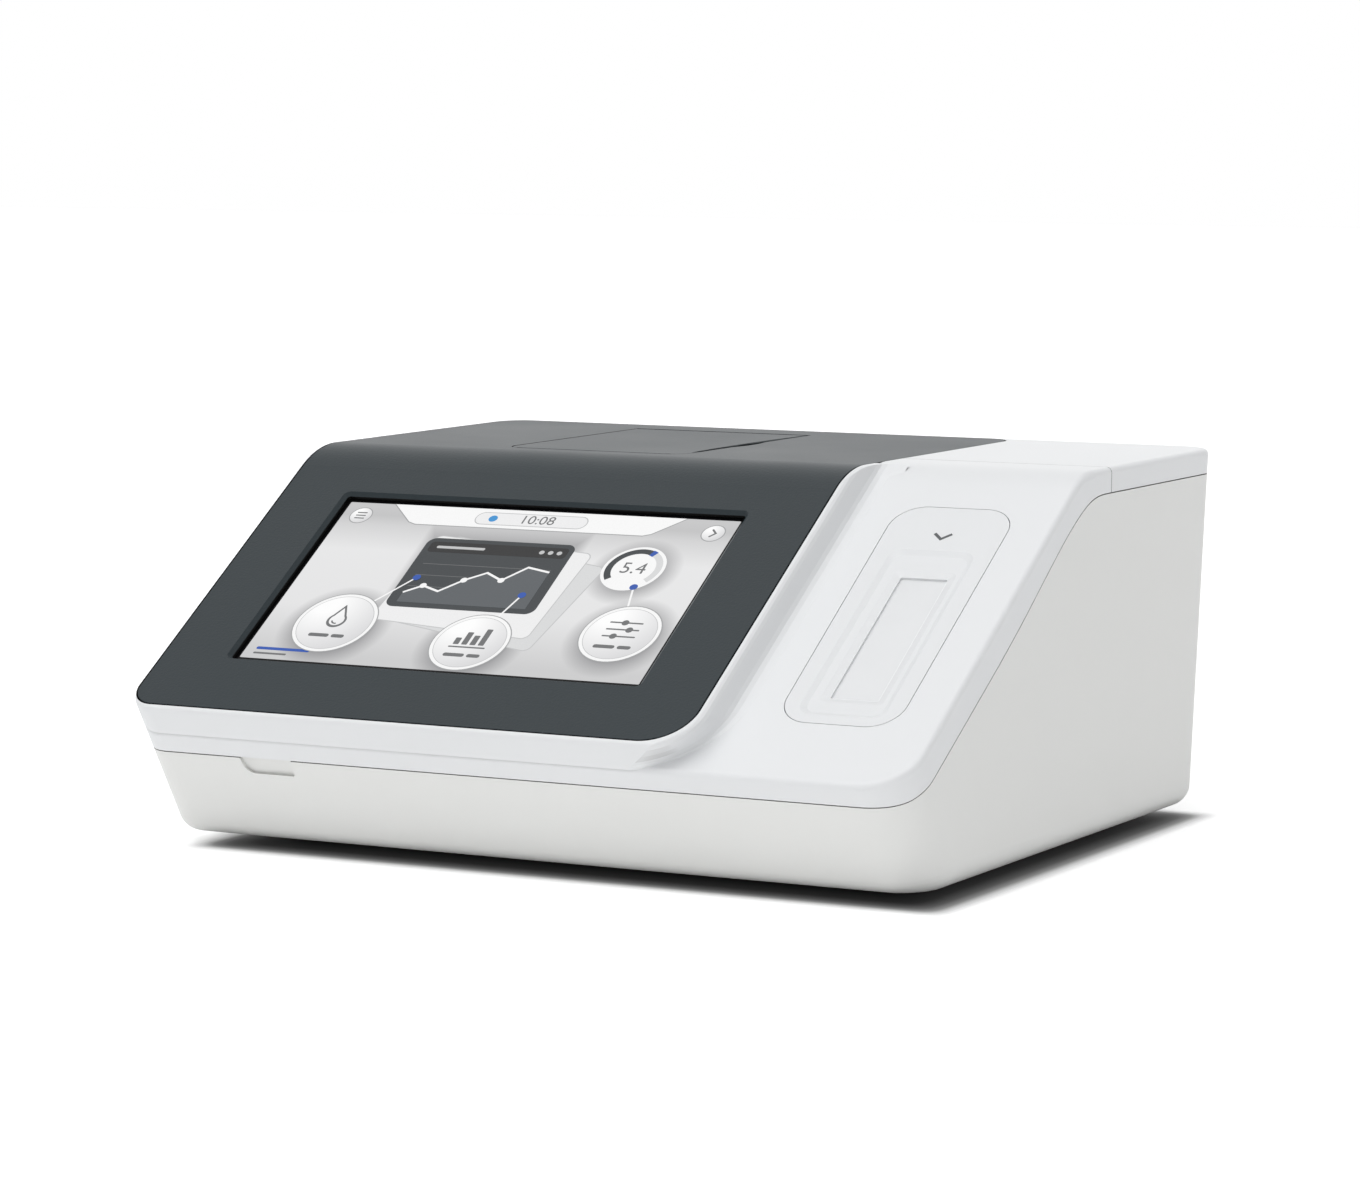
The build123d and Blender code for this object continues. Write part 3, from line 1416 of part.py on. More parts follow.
def rocker_plane():
    """Plane across the rocker's axle; z along the axle, x up the wall."""
    plane = switch_plane()
    return Plane(origin=plane.origin, x_dir=plane.y_dir, z_dir=plane.x_dir)


def switch_housing():
    """Rocker switch body with its rim, clipped into the rear wall."""
    plane = switch_plane()
    rim = Rectangle(switch_body_x + 2 * switch_rim, switch_body_z + 2 * switch_rim)
    body = extrude(plane * fillet(rim.vertices(), switch_rim), amount=switch_rim_t)
    core = fillet(Rectangle(switch_body_x, switch_body_z).vertices(), switch_corner_r - switch_gap / 2)
    body += extrude(plane * core, amount=-switch_depth)
    room = Rectangle(rocker_x + 2 * rocker_gap, rocker_z + 2 * rocker_gap)
    body -= extrude(plane.offset(2 * switch_rim_t) * room, amount=-rocker_room)
    bore = rocker_plane() * Circle(rocker_pin_r + pin_clearance)
    return body - extrude(bore, amount=rocker_x / 2 + rocker_pin_len + rocker_end_gap, both=True)


def power_rocker():
    """Rocker with two pins, resting on its lower side."""
    half = rocker_z / 2
    profile = [(-half, rocker_edge), (-half + rocker_edge, rocker_horn), (0, rocker_dip)]
    profile += [(half - rocker_edge, rocker_horn), (half, rocker_edge)]
    profile += [(half - rocker_dip, -rocker_skirt), (0, -2 * rocker_skirt)]
    profile += [(-half + rocker_dip, -rocker_skirt)]
    body = extrude(make_face(Polyline(*profile, close=True)), amount=rocker_x / 2, both=True)
    body += extrude(Circle(rocker_pin_r), amount=rocker_x / 2 + rocker_pin_len, both=True)
    return rocker_plane().location * (Rot(0, 0, -rocker_tilt) * body)


def fan_frame():
    """Square fan housing with struts and the fixed bearing post."""
    face = fillet(Rectangle(fan_size, fan_size).vertices(), fan_corner_r) - Circle(fan_bore_r)
    for x, z in corner_points(0, 0, fan_hole_pitch / 2, fan_hole_pitch / 2):
        face -= Pos(x, z) * Circle(fan_hole_r)
    plane = Plane(origin=(fan_x, fan_seat_y, fan_z), x_dir=(1, 0, 0), z_dir=(0, 1, 0))
    body = extrude(plane * face, amount=-fan_t)
    struts = Circle(fan_hub_r)
    for angle in (45, 135):
        struts += Rot(0, 0, angle) * Rectangle(2 * fan_bore_r + fan_strut, fan_strut)
    body += extrude(plane.offset(-fan_t) * struts, amount=fan_strut_t)
    low = fan_seat_y - fan_t + fan_strut_t
    return body + y_rod(fan_x, fan_z, fan_shaft_r, low - fuse, fan_seat_y - fan_post_inset)


def fan_blade():
    """One pitched blade, from hub to tip."""
    root = Plane(origin=(fan_hub_r - fan_blade_root, 0, 0), x_dir=(0, 1, 0), z_dir=(1, 0, 0))
    tip = Plane(origin=(fan_bore_r - fan_tip_gap, 0, 0), x_dir=(0, 1, 0), z_dir=(1, 0, 0))
    inner = root * (Rot(0, 0, fan_root_pitch) * Rectangle(fan_root_chord, fan_blade_t))
    outer = tip * (Rot(0, 0, fan_tip_pitch) * Rectangle(fan_tip_chord, fan_blade_t))
    return loft([inner, outer], ruled=True)


def fan_rotor():
    """Hub cup with its blades, bored for the bearing post."""
    low = fan_seat_y - fan_t + fan_strut_t + fan_rotor_gap
    high = fan_seat_y - fan_rotor_gap
    body = y_rod(fan_x, fan_z, fan_hub_r - fan_hub_gap, low, high)
    for n in range(fan_blades):
        blade = Rot(0, n * 360 / fan_blades, 0) * fan_blade()
        body += Pos(fan_x, (low + high) / 2, fan_z) * blade
    return body - y_rod(fan_x, fan_z, fan_shaft_r + shaft_clearance, low, high - fan_cup_t)


def rubber_feet():
    """Four feet pressed into the floor's recesses."""
    pads = []
    for x, y in feet:
        pad = z_rod(x, y, foot_r, 0, foot_pad_h)
        pads.append(fillet([e for e in pad.edges() if lies_on(e, (0, 1, 0))], foot_edge_r))
    return Compound(pads)


def case_screws():
    """Screws from below through the lower case into the upper shells."""
    head_r = screw_well_r - 2 * screw_clearance
    end = post_split_z + screw_grip - post_bore_spare
    head = lambda p: z_rod(p[0], p[1], head_r, screw_head_z - case_head_t, screw_head_z)
    shank = lambda p: z_rod(p[0], p[1], case_screw_r, screw_head_z - fuse, end)
    return screw_group(case_posts, head, shank)


outside = housing_outside()
shell = outside - housing_inside(wall)
upper = upper_shell(shell, outside)

nodes = {
    "lower_case": lower_case(shell),
    "front_fascia": front_fascia(upper),
    "rear_top_cover": rear_top_cover(upper),
    "display_cover": display_cover(),
    "compartment_lid": compartment_lid(),
    "lid_hinge_pins": lid_hinge_pins(),
    "touch_glass": touch_glass(),
    "lcd_panel": lcd_panel(),
    "display_bracket": display_bracket(),
    "display_screws": display_screws(),
    "display_ribbon": display_ribbon(),
    "ribbon_socket": ribbon_socket(),
    "scan_bezel": scan_bezel(),
    "scan_window": scan_window(),
    "scanner_bracket": scanner_bracket(),
    "scanner_screws": scanner_screws(),
    "scanner_module": scanner_module(),
    "scanner_lens": scanner_lens(),
    "compartment_well": compartment_well(),
    "mechanism_frame": mechanism_frame(),
    "cartridge_holder": cartridge_holder(),
    "holder_shafts": holder_shafts(),
    "shaft_bushes": shaft_bushes(),
    "holder_gear": holder_gear(),
    "drive_pinion": drive_pinion(),
    "motor_shaft": motor_shaft(),
    "stepper_motor": stepper_motor(),
    "motor_screws": motor_screws(),
    "heater_block": heater_block(),
    "light_source": light_source(),
    "photo_detector": photo_detector(),
    "home_sensor": home_sensor(),
    "lid_switch": lid_switch(),
    "chassis_plate": chassis_plate(),
    "chassis_screws": chassis_screws(),
    "board_standoffs": board_standoffs(),
    "main_board": main_board(),
    "power_board": power_board(),
    "usb_ports": usb_ports(),
    "lan_port": lan_port(),
    "dc_inlet": dc_inlet(),
    "switch_housing": switch_housing(),
    "power_rocker": power_rocker(),
    "fan_frame": fan_frame(),
    "fan_rotor": fan_rotor(),
    "rubber_feet": rubber_feet(),
    "case_screws": case_screws(),
}

for name, shape in nodes.items():
    export_step(shape, f"parts/{name}.step")
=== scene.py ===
import bpy, bmesh, math
from mathutils import Matrix, Vector

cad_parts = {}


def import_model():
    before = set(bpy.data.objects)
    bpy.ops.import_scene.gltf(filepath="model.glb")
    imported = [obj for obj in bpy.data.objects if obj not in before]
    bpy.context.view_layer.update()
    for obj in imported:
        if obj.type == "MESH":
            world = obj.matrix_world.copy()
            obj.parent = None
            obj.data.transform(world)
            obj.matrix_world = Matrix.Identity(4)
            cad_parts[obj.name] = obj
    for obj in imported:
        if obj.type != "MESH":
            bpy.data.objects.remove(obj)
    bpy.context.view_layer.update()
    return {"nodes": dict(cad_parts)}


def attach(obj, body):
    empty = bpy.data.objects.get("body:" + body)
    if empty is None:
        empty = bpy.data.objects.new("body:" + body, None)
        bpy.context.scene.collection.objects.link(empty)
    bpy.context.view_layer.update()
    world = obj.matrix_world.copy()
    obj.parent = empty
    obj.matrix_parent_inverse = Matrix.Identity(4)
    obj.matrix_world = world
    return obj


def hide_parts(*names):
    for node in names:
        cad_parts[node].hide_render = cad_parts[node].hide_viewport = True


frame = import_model()
MM = 0.001

# Values of the part's own source, in millimetres, with the incline's angle in radians. A cover or lid is
# (left, right, front, rear), and its radii are those of the front left, the front right and both rear corners.
NOSE_Y, NOSE_Z = -129.36, 49.9
INCLINE = math.radians(33.2)
TOP_Z = 129.0
WING_DROP = 10.2
GLASS_DEPTH = 2.5
SEAM_FRONT_Z = NOSE_Z - 16.0
KNEE_R = 40.0
COVER = (-142.6, 66.9, 2.1, 125.8)
COVER_RADII = (9.0, 16.0, 10.0)
COVER_GAP = 0.4
LID = (-78.0, -7.0, 11.52, 109.0)

# Directions, where the incline's knee would be without its round, and how far the round reaches from there
UP, DOWN, FORWARD = (0.0, 0.0, 1.0), (0.0, 0.0, -1.0), (0.0, -1.0, 0.0)
OFF_INCLINE = (0.0, -math.sin(INCLINE), math.cos(INCLINE))
INTO_INCLINE = tuple(-c for c in OFF_INCLINE)
KNEE_V = (TOP_Z - NOSE_Z) / math.sin(INCLINE)
KNEE_REACH = KNEE_R * math.tan(INCLINE / 2)


def on_incline(x, v, out=0.0, drop=0.0):
    """Point on the incline: x across, v up the slope, out away from it."""
    s, c = math.sin(INCLINE), math.cos(INCLINE)
    depth = drop - out
    return Vector((x, NOSE_Y + v * c + depth * s, NOSE_Z + v * s - depth * c)) * MM


def placed(name, data):
    """New object in the scene."""
    obj = bpy.data.objects.new(name, data)
    bpy.context.scene.collection.objects.link(obj)
    return obj


# ---------------------------------------------------------------- materials
DRIFT_SCALE, DOT_SCALE, TRACE_SCALE = 14.0, 2600.0, 160.0
GLOSS_SPREAD = 0.04
# Heights where the painted gap shade gives way to a part's own colour: the blend under a height, and the zone under
# a rim
ABOVE_BLEND = 0.2
RIM_ZONE = (1.9, 1.7, 0.03, 0.01)


def new_material(name):
    mat = bpy.data.materials.new(name)
    mat.use_nodes = True
    nodes = mat.node_tree.nodes
    bsdf = nodes["Principled BSDF"]
    return mat, nodes, mat.node_tree.links, bsdf


def node(nodes, kind, **settings):
    """Node with its settings; in_N sets the value of input N."""
    made = nodes.new(kind)
    for key, value in settings.items():
        if key.startswith("in_"):
            made.inputs[int(key[3:])].default_value = value
        else:
            setattr(made, key, value)
    return made


def joined(nodes, links, operation, first, second):
    """Two values through one math node."""
    made = node(nodes, "ShaderNodeMath", operation=operation)
    links.new(first, made.inputs[0])
    links.new(second, made.inputs[1])
    return made.outputs[0]


def object_xyz(nodes, links):
    """The object's own coordinates, one by one."""
    split = nodes.new("ShaderNodeSeparateXYZ")
    links.new(nodes.new("ShaderNodeTexCoord").outputs["Object"], split.inputs[0])
    return split.outputs


def ramp(nodes, links, source, stops):
    made = nodes.new("ShaderNodeValToRGB")
    elements = made.color_ramp.elements
    while len(elements) < len(stops):
        elements.new(0.5)
    for element, (place, color) in zip(elements, stops):
        element.position = place
        element.color = (*color, 1.0)
    links.new(source, made.inputs["Fac"])
    return made.outputs["Color"]


def noise(nodes, links, scale, detail=3.0, rough=0.5, coords=None):
    coords = coords or node(nodes, "ShaderNodeTexCoord").outputs["Object"]
    made = nodes.new("ShaderNodeTexNoise")
    made.inputs["Scale"].default_value = scale
    made.inputs["Detail"].default_value = detail
    made.inputs["Roughness"].default_value = rough
    links.new(coords, made.inputs["Vector"])
    return made.outputs["Fac"]


def bump(nodes, links, height, strength, distance):
    made = nodes.new("ShaderNodeBump")
    made.inputs["Strength"].default_value = strength
    made.inputs["Distance"].default_value = distance
    links.new(height, made.inputs["Height"])
    return made.outputs["Normal"]


def mix_color(nodes, links, fac, a, b, mode="MIX"):
    made = nodes.new("ShaderNodeMix")
    made.data_type = "RGBA"
    made.blend_type = mode
    for socket, value in ((made.inputs[0], fac), (made.inputs[6], a), (made.inputs[7], b)):
        if hasattr(value, "is_output"):
            links.new(value, socket)
        elif isinstance(value, (int, float)):
            socket.default_value = value
        else:
            socket.default_value = (*value, 1.0)
    return made.outputs[2]


def map_range(nodes, links, value, low, high, to_low, to_high):
    made = nodes.new("ShaderNodeMapRange")
    for index, number in zip(range(1, 5), (low, high, to_low, to_high)):
        made.inputs[index].default_value = number
    links.new(value, made.inputs[0])
    return made.outputs[0]


def facing(nodes, links, directions, low, high):
    """How far a face looks along its nearest direction: nought at the cosine low, one at the cosine high."""
    normal = nodes.new("ShaderNodeTexCoord").outputs["Normal"]
    best = None
    for direction in directions:
        along = node(nodes, "ShaderNodeVectorMath", operation="DOT_PRODUCT")
        links.new(normal, along.inputs[0])
        along.inputs[1].default_value = direction
        value = along.outputs["Value"]
        best = value if best is None else joined(nodes, links, "MAXIMUM", best, value)
    return map_range(nodes, links, best, low, high, 0.0, 1.0)


def moulded(name, color, rough, grain=1500.0, grain_depth=0.00002, grain_strength=0.25, drift=0.03,
            specular=0.5, walls=None, gap_shade_color=None, above=None, rim=None):
    """Moulded plastic: fine spark grain, and a slight drift of colour and gloss.

    walls holds directions and two cosines. A face at the first cosine to its nearest direction is a gap's wall
    and is painted in the given shade colour, painted shade for the shadow that falls in the gap, and one at the
    second keeps its own. So does every face below the height above, and every face in the zone just under the
    height rim.
    """
    mat, nodes, links, bsdf = new_material(name)
    coarse = noise(nodes, links, DRIFT_SCALE, 4.0)
    fine = noise(nodes, links, grain, 2.0, 0.6)
    dark = tuple(c * (1 - drift) for c in color)
    light = tuple(min(1.0, c * (1 + drift)) for c in color)
    base = ramp(nodes, links, coarse, [(0.3, dark), (0.7, light)])
    # Painted shade: the walls of gaps and seams turn to the shade colour
    if walls:
        share = facing(nodes, links, *walls)
        z = object_xyz(nodes, links)["Z"]
        if above is not None:
            over = map_range(nodes, links, z, (above - ABOVE_BLEND) * MM, above * MM, 1.0, 0.0)
            share = joined(nodes, links, "MAXIMUM", share, over)
        if rim is not None:
            bottom, low, high, top = [(rim - down) * MM for down in RIM_ZONE]
            below = map_range(nodes, links, z, high, top, 1.0, 0.0)
            low_end = map_range(nodes, links, z, bottom, low, 0.0, 1.0)
            share = joined(nodes, links, "MAXIMUM", share, joined(nodes, links, "MULTIPLY", below, low_end))
        base = mix_color(nodes, links, share, gap_shade_color, base)
    links.new(base, bsdf.inputs["Base Color"])
    gloss = map_range(nodes, links, coarse, 0.2, 0.8, rough - GLOSS_SPREAD, rough + GLOSS_SPREAD)
    links.new(gloss, bsdf.inputs["Roughness"])
    bsdf.inputs["Specular IOR Level"].default_value = specular
    links.new(bump(nodes, links, fine, grain_strength, grain_depth), bsdf.inputs["Normal"])
    return mat


def metal(name, color, rough, grain=(60.0, 900.0, 900.0), depth=0.00002, wear=0.12):
    """Metal with drawn or rolled streaks along one axis and cloudy variation."""
    mat, nodes, links, bsdf = new_material(name)
    coords = nodes.new("ShaderNodeTexCoord")
    mapping = nodes.new("ShaderNodeMapping")
    mapping.inputs["Scale"].default_value = grain
    links.new(coords.outputs["Object"], mapping.inputs["Vector"])
    streaks = noise(nodes, links, 1.0, 4.0, 0.6, mapping.outputs["Vector"])
    cloud = noise(nodes, links, 60.0, 3.0)
    dark = tuple(c * (1 - wear) for c in color)
    links.new(ramp(nodes, links, cloud, [(0.3, dark), (0.7, color)]), bsdf.inputs["Base Color"])
    links.new(map_range(nodes, links, streaks, 0.2, 0.8, rough - 0.08, rough + 0.1), bsdf.inputs["Roughness"])
    links.new(bump(nodes, links, streaks, 0.3, depth), bsdf.inputs["Normal"])
    bsdf.inputs["Metallic"].default_value = 1.0
    return mat


def board(name):
    """Circuit board: solder resist with fine copper traces seen through it."""
    mat, nodes, links, bsdf = new_material(name)
    coords = nodes.new("ShaderNodeTexCoord").outputs["Object"]
    lines = nodes.new("ShaderNodeTexBrick")
    lines.inputs["Scale"].default_value = TRACE_SCALE
    lines.inputs["Mortar Size"].default_value = 0.03
    lines.inputs["Color1"].default_value = (0.012, 0.10, 0.05, 1)
    lines.inputs["Color2"].default_value = (0.016, 0.13, 0.065, 1)
    lines.inputs["Mortar"].default_value = (0.05, 0.24, 0.12, 1)
    links.new(coords, lines.inputs["Vector"])
    links.new(lines.outputs["Color"], bsdf.inputs["Base Color"])
    links.new(bump(nodes, links, lines.outputs["Fac"], 0.3, 0.00004), bsdf.inputs["Normal"])
    bsdf.inputs["Roughness"].default_value = 0.35
    return mat


def glassy(name, color, rough, coat=0.6, specular=0.5):
    """Polished pane with a faint smear in its colour and gloss."""
    mat, nodes, links, bsdf = new_material(name)
    smear = noise(nodes, links, 30.0, 5.0, 0.6)
    tone = ramp(nodes, links, smear, [(0.3, tuple(c * 0.96 for c in color)), (0.7, color)])
    links.new(tone, bsdf.inputs["Base Color"])
    links.new(map_range(nodes, links, smear, 0.2, 0.8, rough, rough + 0.06), bsdf.inputs["Roughness"])
    bsdf.inputs["Specular IOR Level"].default_value = specular
    bsdf.inputs["Coat Weight"].default_value = coat
    bsdf.inputs["Coat Roughness"].default_value = 0.04
    return mat


# SHADED on the white shells, and near black on the dark cover and lid, are painted shade for the walls of gaps and
# seams
SHADED = (0.22, 0.21, 0.20)
WHITE = dict(color=(0.80, 0.81, 0.82), rough=0.40, grain=1700.0, grain_strength=0.12, drift=0.006, gap_shade_color=SHADED)
DARK = dict(color=(0.0098, 0.0178, 0.0222), rough=0.42, grain=1100.0, grain_depth=0.0001, grain_strength=0.7,
            drift=0.05, specular=0.25, walls=([UP, OFF_INCLINE], 0.1, 0.6), gap_shade_color=(0.001, 0.001, 0.001))
MATERIALS = {
    "white": moulded("shell_white", walls=([INTO_INCLINE, DOWN], 0.9, 0.7), **WHITE),
    "rear": moulded("rear_white", walls=([INTO_INCLINE, DOWN, FORWARD], 0.9, 0.7), **WHITE),
    "case": moulded("case_white", (0.80, 0.803, 0.785), 0.42, grain=1700.0, grain_strength=0.14, drift=0.008,
                    walls=([UP, OFF_INCLINE], 0.9, 0.7), gap_shade_color=SHADED, above=SEAM_FRONT_Z - 1.0),
    "cover": moulded("cover_dark", **DARK),
    "lid": moulded("lid_dark", rim=TOP_Z, **DARK),
    "bezel": moulded("bezel_white", (0.78, 0.79, 0.80), 0.38, grain=1700.0, grain_strength=0.10, drift=0.006),
    "black": moulded("black_plastic", (0.014, 0.014, 0.016), 0.45, grain=1400.0, grain_strength=0.3, drift=0.15),
    "matt_black": moulded("holder_plastic", (0.02, 0.02, 0.022), 0.6, grain=1200.0, grain_strength=0.4, drift=0.15),
    "well": moulded("well_plastic", (0.035, 0.037, 0.04), 0.55, grain=1200.0, grain_strength=0.4, drift=0.1),
    "acetal": moulded("gear_plastic", (0.78, 0.76, 0.70), 0.40, grain=900.0, grain_strength=0.15, drift=0.03),
    "rubber": moulded("foot_rubber", (0.02, 0.02, 0.02), 0.8, grain=700.0, grain_strength=0.6, drift=0.25),
    "film": moulded("ribbon_film", (0.50, 0.26, 0.06), 0.3, grain=400.0, grain_strength=0.1, drift=0.1),
    "steel": metal("steel", (0.55, 0.56, 0.58), 0.30),
    "zinc": metal("zinc_sheet", (0.60, 0.61, 0.60), 0.42, grain=(120.0, 120.0, 120.0), wear=0.25),
    "aluminium": metal("aluminium", (0.62, 0.63, 0.64), 0.38, grain=(500.0, 40.0, 500.0)),
    "bronze": metal("bronze", (0.62, 0.40, 0.18), 0.35),
    "motor": moulded("motor_black", (0.02, 0.02, 0.022), 0.35, grain=500.0, grain_strength=0.2, drift=0.2),
    "board": board("board_green"),
    "glass": glassy("screen_glass", (0.002, 0.002, 0.0025), 0.12, 0.0, 0.1),
    "port_glass": glassy("port_glass", (0.74, 0.75, 0.76), 0.12, 0.3),
    "lens": glassy("optic", (0.05, 0.06, 0.09), 0.04, 1.0),
}
LOOKS = {
    "lower_case": "case", "front_fascia": "white", "rear_top_cover": "rear", "display_cover": "cover",
    "compartment_lid": "lid", "lid_hinge_pins": "steel", "touch_glass": "glass", "lcd_panel": "aluminium",
    "display_bracket": "zinc", "display_screws": "steel", "display_ribbon": "film", "ribbon_socket": "black",
    "scan_bezel": "bezel", "scan_window": "port_glass", "scanner_bracket": "zinc", "scanner_screws": "steel",
    "scanner_module": "black", "scanner_lens": "lens", "compartment_well": "well", "mechanism_frame": "zinc",
    "cartridge_holder": "matt_black", "holder_shafts": "steel", "shaft_bushes": "bronze", "holder_gear": "acetal",
    "drive_pinion": "bronze", "motor_shaft": "steel", "stepper_motor": "motor", "motor_screws": "steel",
    "heater_block": "aluminium", "light_source": "black", "photo_detector": "black", "home_sensor": "black",
    "lid_switch": "black", "chassis_plate": "zinc", "chassis_screws": "steel", "board_standoffs": "bronze",
    "main_board": "board", "power_board": "board", "usb_ports": "steel", "lan_port": "steel", "dc_inlet": "black",
    "switch_housing": "black", "power_rocker": "black", "fan_frame": "black", "fan_rotor": "black",
    "rubber_feet": "rubber", "case_screws": "steel",
}
for name, obj in frame["nodes"].items():
    material = MATERIALS[LOOKS[name]]
    for slot in obj.material_slots:
        slot.link = "OBJECT"
        slot.material = material
    if not obj.material_slots:
        obj.data.materials.append(material)


# ------------------------------------------------------- printed and lit shapes
PRINT_T = 0.02


def dotted(nodes, links, color):
    """A colour with the faint dot structure of a print or a display."""
    dots = noise(nodes, links, DOT_SCALE, 1.0)
    return ramp(nodes, links, dots, [(0.35, tuple(c * 0.96 for c in color)), (0.65, color)])


def paint(name, color, rough):
    """Printed ink."""
    mat, nodes, links, bsdf = new_material(name)
    links.new(dotted(nodes, links, color), bsdf.inputs["Base Color"])
    bsdf.inputs["Roughness"].default_value = rough
    return mat


def on_incline_matrix(out=0.0, drop=0.0):
    """Frame on the incline: x across, y up the slope, z outwards."""
    origin = on_incline(0, 0, out, drop)
    up = (on_incline(0, 1, out, drop) - origin).normalized()
    normal = Vector((1, 0, 0)).cross(up)
    return Matrix(((1, up.x, normal.x, origin.x), (0, up.y, normal.y, origin.y),
                   (0, up.z, normal.z, origin.z), (0, 0, 0, 1)))


def laid(name, curve, material, matrix):
    """Mesh of a flat curve, laid in its place and riding on the housing."""
    flat_curve = placed(name + "_curve", curve)
    mesh = bpy.data.meshes.new_from_object(flat_curve)
    bpy.data.objects.remove(flat_curve)
    mesh.name = name
    mesh.transform(matrix)
    mesh.materials.clear()
    mesh.materials.append(material)
    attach(placed(name, mesh), "housing")


def plate(name, loops, material, out=0.0, drop=0.0):
    """Thin flat plate on the incline from closed outlines in (x, v) millimetres; further loops are holes."""
    curve = bpy.data.curves.new(name, "CURVE")
    curve.dimensions = "2D"
    curve.fill_mode = "BOTH"
    for loop in loops:
        spline = curve.splines.new("POLY")
        spline.points.add(len(loop) - 1)
        for point, (x, v) in zip(spline.points, loop):
            point.co = (x * MM, v * MM, 0, 1)
        spline.use_cyclic_u = True
    curve.extrude = PRINT_T * MM / 2
    laid(name, curve, material, on_incline_matrix(out, drop))


def circle(x, v, r, count=48, from_deg=0.0, to_deg=360.0):
    """Points of a circle or arc."""
    full = abs(to_deg - from_deg) >= 360
    steps = count if full else count + 1
    return [(x + r * math.cos(math.radians(from_deg + (to_deg - from_deg) * n / count)),
             v + r * math.sin(math.radians(from_deg + (to_deg - from_deg) * n / count))) for n in range(steps)]


def quarter(x, v, r, start, count):
    """Points of a rounded corner."""
    angles = [math.radians(start + 90 * n / count) for n in range(count + 1)]
    return [(x + r * math.cos(angle), v + r * math.sin(angle)) for angle in angles]


def rounded(x0, v0, x1, v1, r, count=8):
    """Rounded rectangle between two corners."""
    corners = ((x1 - r, v0 + r, -90), (x1 - r, v1 - r, 0), (x0 + r, v1 - r, 90), (x0 + r, v0 + r, 180))
    return [point for cx, cv, start in corners for point in quarter(cx, cv, r, start, count)]


def arc_band(x, v, r_in, r_out, a0, a1, count=40):
    """Band along an arc."""
    outer = circle(x, v, r_out, count, a0, a1)
    inner = circle(x, v, r_in, count, a0, a1)
    return outer + inner[::-1]


def stroke(points, width):
    """Outline of a line of even width through a few points, with mitred corners."""
    left, right = [], []
    for n, (x, v) in enumerate(points):
        ax, av = points[max(n - 1, 0)]
        bx, bv = points[min(n + 1, len(points) - 1)]
        if 0 < n < len(points) - 1:
            d1 = Vector((x - ax, v - av)).normalized()
            d2 = Vector((bx - x, bv - v)).normalized()
            normal = Vector((-(d1 + d2).y, (d1 + d2).x)).normalized()
            scale = width / 2 / max(0.3, normal.dot(Vector((-d1.y, d1.x))))
        else:
            d1 = Vector((bx - ax, bv - av)).normalized()
            normal = Vector((-d1.y, d1.x))
            scale = width / 2
        left.append((x + normal.x * scale, v + normal.y * scale))
        right.append((x - normal.x * scale, v - normal.y * scale))
    return left + right[::-1]


# Picture on the display: its box, the buttons and the gauge as (x, v, radius), the card's box, the picture's
# height against the skin, and the step from level to level
SX0, SX1, SV0, SV1 = -114.8, 38.3, 31.2, 116.1
BUTTONS = [(-87.5, 51.5, 15.5), (-32.0, 46.0, 14.5), (20.5, 55.0, 14.5)]
CARD = (-74.0, 62.0, -16.0, 99.0)
GAUGE = (10.0, 88.5, 11.5)
FACE = -GLASS_DEPTH + 0.04
LEVEL = 0.02


def emissive(name):
    """Lit picture area under glass: black body colour, faint gloss, and a tone that the caller links."""
    mat, nodes, links, bsdf = new_material(name)
    bsdf.inputs["Base Color"].default_value = (0.01, 0.01, 0.01, 1)
    bsdf.inputs["Specular IOR Level"].default_value = 0.2
    bsdf.inputs["Emission Strength"].default_value = 1.0
    gloss = map_range(nodes, links, noise(nodes, links, 40.0), 0.3, 0.7, 0.2, 0.26)
    links.new(gloss, bsdf.inputs["Roughness"])
    return mat, nodes, links, bsdf.inputs["Emission Color"]


def ink(name, color):
    """Even lit colour with the display's fine dot structure."""
    mat, nodes, links, tone = emissive(name)
    links.new(dotted(nodes, links, color), tone)
    return mat


def distance_to(nodes, links, point):
    """How far the surface is from a point."""
    coords = nodes.new("ShaderNodeTexCoord").outputs["Object"]
    away = node(nodes, "ShaderNodeVectorMath", operation="DISTANCE")
    links.new(coords, away.inputs[0])
    away.inputs[1].default_value = point
    return away.outputs["Value"]


def outside_of(nodes, links, value, middle, half):
    """How far a coordinate lies outside a span."""
    moved = node(nodes, "ShaderNodeMath", operation="SUBTRACT", in_1=middle)
    size = node(nodes, "ShaderNodeMath", operation="ABSOLUTE")
    beyond = node(nodes, "ShaderNodeMath", operation="SUBTRACT", in_1=half)
    links.new(value, moved.inputs[0])
    links.new(moved.outputs[0], size.inputs[0])
    links.new(size.outputs[0], beyond.inputs[0])
    return beyond.outputs[0]


